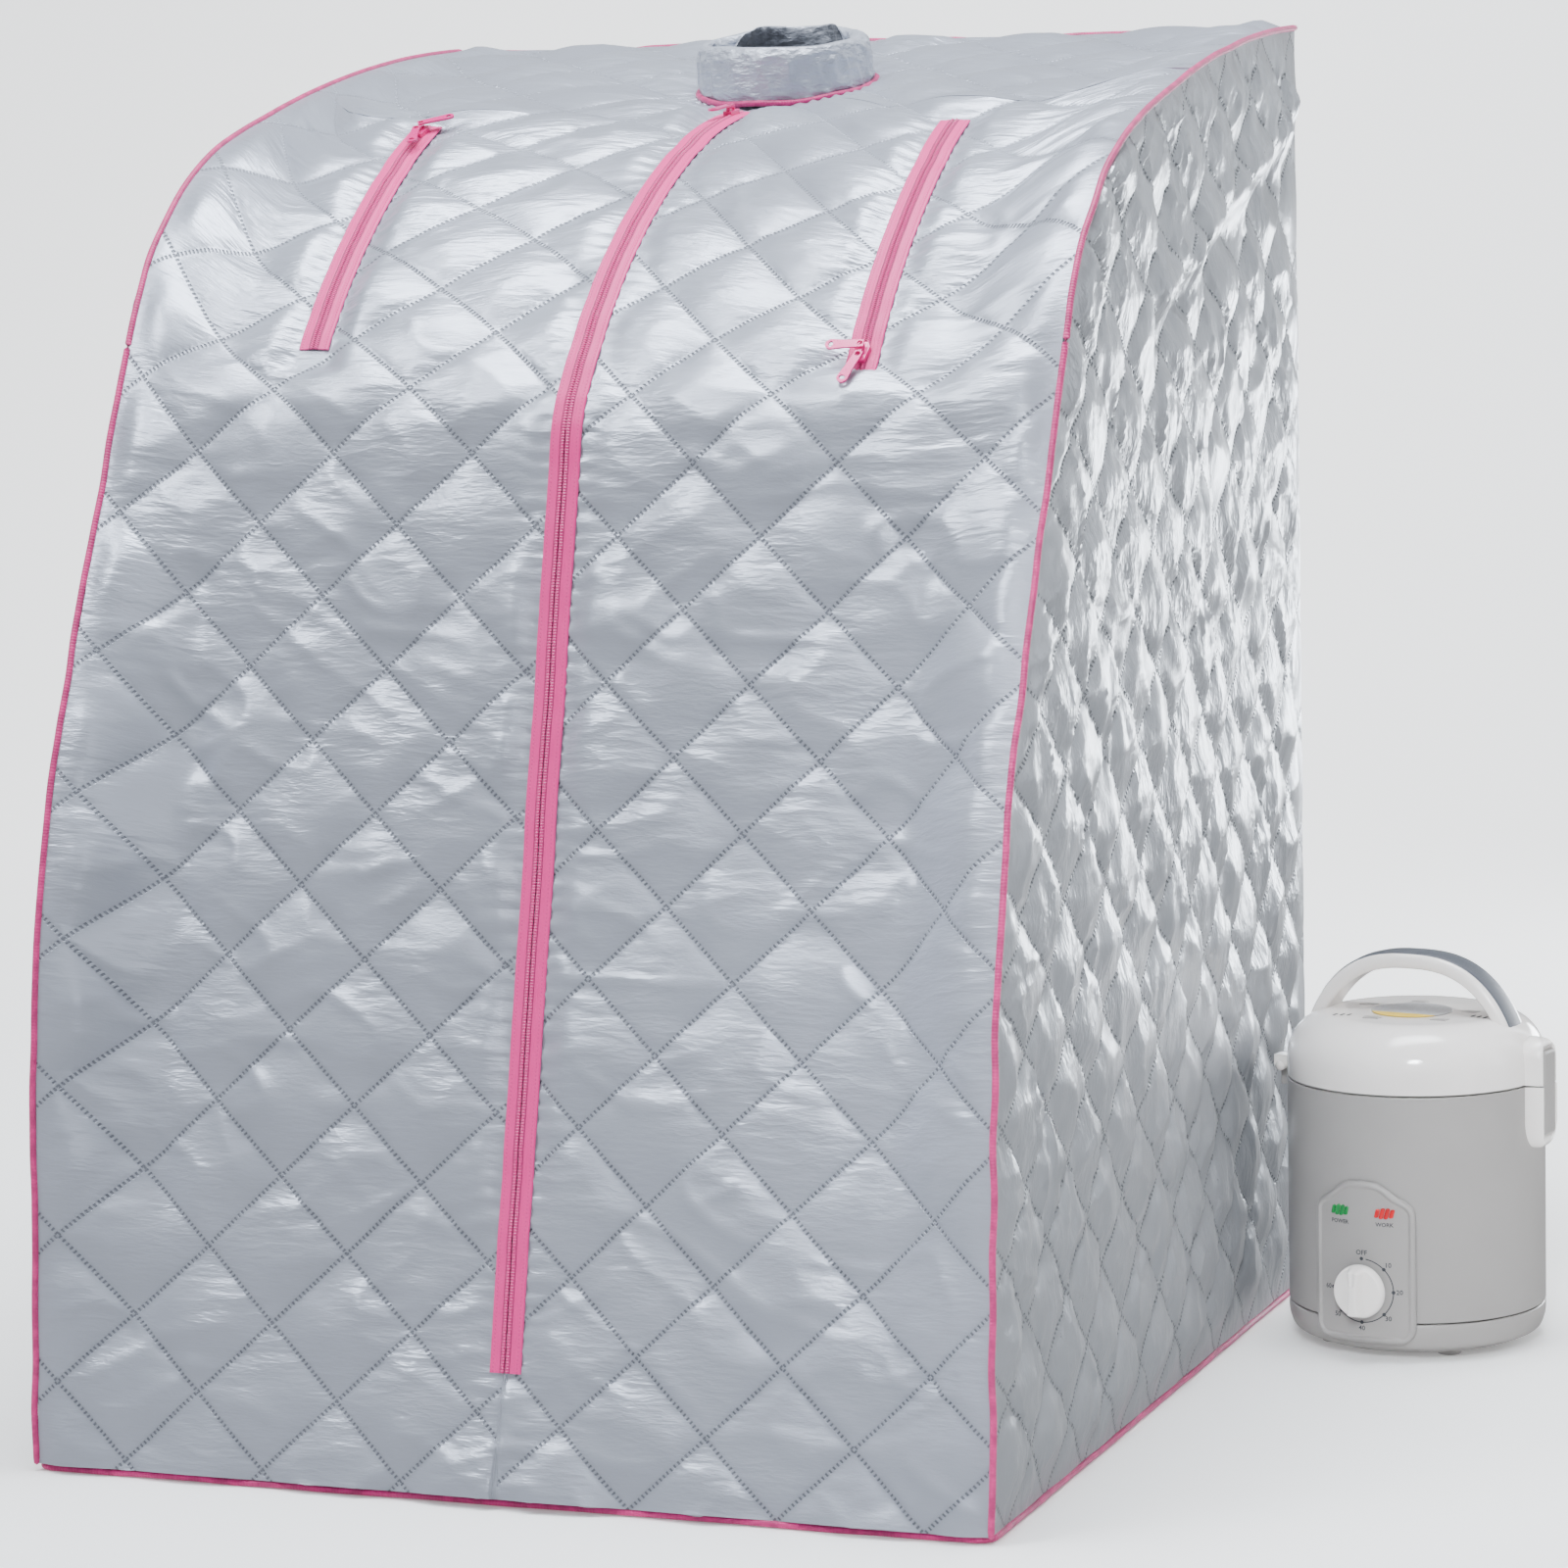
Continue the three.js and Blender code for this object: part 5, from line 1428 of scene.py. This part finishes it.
def recalc(thing):
    """Closes doubled points and turns every face outwards."""
    with editing(thing.data) as made:
        bmesh.ops.remove_doubles(made, verts=made.verts, dist=1e-6)
        bmesh.ops.recalc_face_normals(made, faces=made.faces)


def arch(u, lift=0.0):
    """The handle's line over the lid: x along u, and a height that is a flattened arch."""
    x = 0.086 * u * (1 + lift / 0.160)
    rise = (1 - np.abs(u) ** 2.6) ** 0.62
    return x, 0.214 + 0.076 * rise + lift


def swept_arch(name, u, section, taper=0.0):
    """A section of (across, lift) carried along the handle's arch."""
    u = np.asarray(u)[:, None]
    across = section[None, :, 0] * (1 + taper * np.abs(u) ** 3)
    x, z = arch(u, section[None, :, 1])
    points = np.stack(np.broadcast_arrays(x, across, z), -1)
    return surface(name, to_world(points), None, (False, True), weld=False)


def build_handle():
    u = np.sin(np.linspace(-0.985, 0.985, 90) * np.pi / 2)
    body = rounded([(0.0, 0.0), (0.0150, 0.0), (0.0150, -0.0112), (-0.0150, -0.0112),
                    (-0.0150, 0.0), (0.0, 0.0)], 0.0046, 7)[:-1]
    handle = swept_arch("handle_arch", u, body, 0.12)
    cap_ends(handle)
    dress(handle, "white_gloss", ["handle_frame"], body="lid")
    grip = rounded([(0.0, 0.0016), (0.0118, 0.0008), (0.0118, -0.0030), (-0.0118, -0.0030),
                    (-0.0118, 0.0008), (0.0, 0.0016)], 0.0016, 5)[:-1]
    u = np.sin(np.linspace(-0.62, 0.86, 70) * np.pi / 2)
    inlay = swept_arch("handle_inlay", u, grip, -0.1)
    cap_ends(inlay)
    dress(inlay, "grip_rubber", ["handle_grip"], body="lid")


def cap_ends(thing):
    """Fills the two open ends of a swept piece and turns its faces outwards."""
    with editing(thing.data) as made:
        rim = [e for e in made.edges if e.is_boundary]
        bmesh.ops.holes_fill(made, edges=rim, sides=0)
        bmesh.ops.recalc_face_normals(made, faces=made.faces)
        for face in made.faces:
            face.smooth = len(face.verts) == 4


def pod(name, flat_z, round_z, out, node, body, half=0.0155, dish=0.004):
    """A swelling on the generator's side, cut off flat at one height and rounded at the other: its
    width follows a quarter circle near the round end, and its face a high-order curve."""
    t = (1 - np.cos(np.linspace(0, np.pi, 44)))[:, None] / 2
    u = np.sin(np.linspace(-np.pi / 2, np.pi / 2, 49))[None]
    width = half * np.sqrt(np.maximum(1 - (np.maximum(t - 0.55, 0) / 0.45) ** 2, 0))
    y = u * width
    z = flat_z + (round_z - flat_z) * t + 0 * u
    base = np.sqrt(np.maximum(POT_RADIUS ** 2 - y ** 2, 0)) - 0.004
    face = (np.maximum(1 - np.abs(u) ** 7, 0) * np.maximum(1 - t ** 8, 0)) ** 0.3
    middle = smooth((0.78 - np.abs(u)) / 0.12) * smooth((0.86 - t) / 0.08)
    x = base + (out - base) * face - dish * middle
    back = np.stack([base[:1] + 0 * x[:1], y[:1], z[:1]], -1)
    points = np.concatenate([back, np.stack([x, y, z], -1)], 0)
    piece = surface(name, to_world(points), None)
    recalc(piece)
    cap_ends(piece)
    dress(piece, "white_gloss", [node], body=body)
    return piece


def build_latch():
    pod("latch_pod", 0.1974, 0.1500, 0.1090, "latch_housing", "generator")
    pod("lid_catch_pod", 0.1987, 0.2330, 0.1085, "latch_catch", "lid")
    refined("latch_lever", "shaded_white_satin", "latch", 0.0030, 4)


def build_inner_parts():
    for node, finish, slot_name in (
            ("inner_pot", "spun_aluminium", "aluminium"),
            ("heater_plate", "spun_aluminium", "aluminium"),
            ("timer_unit", "dark_plastic", "dark_plastic"),
            ("power_inlet", "dark_plastic", "dark_plastic"),
            ("hinge_pin", "bright_steel", "spring_steel")):
        refined(node, finish, "generator", 0.0006 if node != "inner_pot" else 0)
    refined("thermostat_button", "spun_aluminium", "thermostat", 0.0006)
    refined("lid_liner", "spun_aluminium", "lid", 0)
    refined("lid_gasket", "silicone", "lid", 0)


# ---- stage
def aim(thing, place, target):
    forward = np.asarray(target, float) - np.asarray(place, float)
    back = -forward / np.linalg.norm(forward)
    right = np.cross([0, 0, 1], back)
    right /= np.linalg.norm(right)
    up = np.cross(back, right)
    matrix = np.eye(4)
    matrix[:3, 0], matrix[:3, 1], matrix[:3, 2], matrix[:3, 3] = right, up, back, place
    thing.matrix_world = Matrix(matrix.tolist())


EYE = {"place": (1.377, -3.463, 0.914), "angles": (20.731, 7.334, -1.321), "lens": 118.48}


def build_stage():
    """The camera, whose angles are its turn, rise and roll, then the surround, lamps and floor."""
    scene = bpy.context.scene
    camera = bpy.data.cameras.new("camera")
    camera.lens, camera.sensor_width = EYE["lens"], 36.0
    eye = linked("camera", camera)
    turn, rise, roll = (math.radians(a) for a in EYE["angles"])
    back = np.array([math.sin(turn) * math.cos(rise), -math.cos(turn) * math.cos(rise),
                     math.sin(rise)])
    right = np.array([math.cos(turn), math.sin(turn), 0.0])
    up = np.cross(back, right)
    matrix = np.eye(4)
    matrix[:3, 0] = math.cos(roll) * right + math.sin(roll) * up
    matrix[:3, 1] = -math.sin(roll) * right + math.cos(roll) * up
    matrix[:3, 2] = back
    matrix[:3, 3] = EYE["place"]
    eye.matrix_world = Matrix(matrix.tolist())
    scene.camera = eye

    world = bpy.data.worlds.new("surround")
    world.use_nodes = True
    light = world.node_tree.nodes["Background"]
    light.inputs["Color"].default_value = (0.97, 0.98, 1.0, 1.0)
    light.inputs["Strength"].default_value = scene.sauna_stage.world
    scene.world = world

    key = scene.sauna_stage.key_power
    middle, pot, wall = (0.0, 0.0, 0.5), (0.50, -0.02, 0.16), (-2.0, 6.5, 1.2)
    for name, place, target, wide, tall, power, spread in (
            ("key", (-1.7, -2.0, 3.2), middle, 1.3, 1.0, key, 180),
            ("top", (0.1, -0.1, 3.4), middle, 2.4, 1.4, 2.7 * key, 180),
            ("fill", (2.2, -3.4, 1.4), middle, 1.0, 1.6, 0.16 * key, 180),
            ("strip_near", (3.3, 0.4, 1.5), middle, 0.20, 2.6, 0.115 * key, 180),
            ("strip_middle", (2.9, 2.1, 1.6), middle, 0.20, 2.8, 0.12 * key, 180),
            ("strip_far", (1.9, 3.3, 1.7), middle, 0.25, 2.8, 0.14 * key, 180),
            ("rear_low", (1.1, 2.2, 0.4), middle, 0.9, 0.5, 0.30 * key, 180),
            ("generator", (1.0, -2.2, 1.5), pot, 0.4, 0.4, 0.022 * key, 28),
            ("backdrop", (-1.5, 2.6, 4.2), wall, 3.0, 1.0, 2.0 * key, 180)):
        lamp = bpy.data.lights.new(name, "AREA")
        lamp.shape = "RECTANGLE"
        lamp.energy, lamp.size, lamp.size_y = power, wide, tall
        lamp.color, lamp.spread = (0.90, 0.95, 1.0), math.radians(spread)
        thing = linked(name, lamp)
        thing.visible_camera = False
        aim(thing, place, target)

    x, y = np.meshgrid(np.linspace(-9, 9, 24), np.linspace(-6, 8, 60), indexing="ij")
    # Far behind the sauna the floor sweeps up into a backdrop.
    z = 0.16 * np.maximum(y - 2.4, 0) ** 2
    floor = surface("floor", np.stack([x, y, z], -1), None)
    s = Shader("pale_floor")
    here = s.coordinates()
    soft = s.cloud(here, (2, 2, 2), 2.0)
    _, depth, _ = s.split(here)
    glow = s.tint(depth.between(0.3, 2.6), (0.25, 0.25, 0.25), (1.0, 1.0, 1.0))
    floor.data.materials.append(s.finish(
        Base_Color=s.tint(soft, (0.95, 0.945, 0.94), (0.97, 0.967, 0.965)), Roughness=0.6,
        Emission_Color=glow, Emission_Strength=0.9))
    # The cloth then mirrors a plain grey room rather than the bright floor.
    floor.visible_glossy = False
    floor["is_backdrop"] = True


# ---- operators and panel
def operator(label, doc, *steps):
    """An operator that runs the given building steps."""
    def execute(self, context):
        for step in steps:
            step()
        return {"FINISHED"}
    idname = label.lower().replace(" ", "_")
    return type("SAUNA_OT_" + idname, (bpy.types.Operator,), {
        "__doc__": doc, "bl_idname": "sauna." + idname, "bl_label": label,
        "bl_options": {"REGISTER"}, "execute": execute})


OPERATORS = [
    operator("Stage", "Camera, soft lights and a pale floor", build_stage),
    operator("Front Cloth", "The two halves of the quilted front",
             build_front_halves),
    operator("Hem and Shoulder", "The hem strip and the shoulder cloth",
             build_hem_and_shoulder),
    operator("Top Cloth", "The quilted top with its neck hole", build_top_cloth),
    operator("Side Cloths", "The crinkled side walls", build_side_cloths),
    operator("Back and Floor", "The rear wall and the floor mat",
             build_back_cloth, build_floor_cloth),
    operator("Neck Collar", "The padded neck collar and its piping", build_collar),
    operator("Piping", "Pink piping along the cabinet's edges", build_piping),
    operator("Zips", "The main zip and the two arm zips", build_zips),
    operator("Zip Sliders", "Sliders and pull tabs", build_sliders),
    operator("Rod Frame", "Hoops, cross rods and the hose port", build_rod_frame),
    operator("Generator Body", "The generator's base and shell",
             build_generator_body),
    operator("Control Panel", "Panel, lamps, dial and knob",
             build_control_panel, build_lamps, build_dial, build_knob),
    operator("Lid", "The lid with its label, vents and spigot", build_lid),
    operator("Handle", "The carrying handle and its inlay", build_handle),
    operator("Latch", "The lid's latch", build_latch),
    operator("Inner Parts", "Pot, heater, timer and fittings", build_inner_parts),
]


class SAUNA_PT_sidebar(bpy.types.Panel):
    """Lists the sauna's pieces and settings"""
    bl_idname = "SAUNA_PT_sidebar"
    bl_label = "Steam Sauna"
    bl_space_type = "VIEW_3D"
    bl_region_type = "UI"
    bl_category = "Steam Sauna"

    def draw(self, context):
        for group, kind in SETTINGS.items():
            box = self.layout.box()
            for key in kind.__annotations__:
                box.prop(getattr(context.scene, group), key)
        for made in OPERATORS:
            self.layout.operator(made.bl_idname)


def register():
    for group, kind in SETTINGS.items():
        bpy.utils.register_class(kind)
        setattr(bpy.types.Scene, group, bpy.props.PointerProperty(type=kind))
    for made in OPERATORS:
        bpy.utils.register_class(made)
    bpy.utils.register_class(SAUNA_PT_sidebar)


def unregister():
    bpy.utils.unregister_class(SAUNA_PT_sidebar)
    for made in reversed(OPERATORS):
        bpy.utils.unregister_class(made)
    for group, kind in SETTINGS.items():
        delattr(bpy.types.Scene, group)
        bpy.utils.unregister_class(kind)


def main():
    register()
    for made in OPERATORS:
        getattr(bpy.ops.sauna, made.bl_idname.split(".")[1])()
    plain = lambda box: [[float(c) for c in corner] for corner in box]
    {"cad": plain(CAD_BOX), "visual": plain(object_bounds())}


if __name__ == "__main__":
    main()
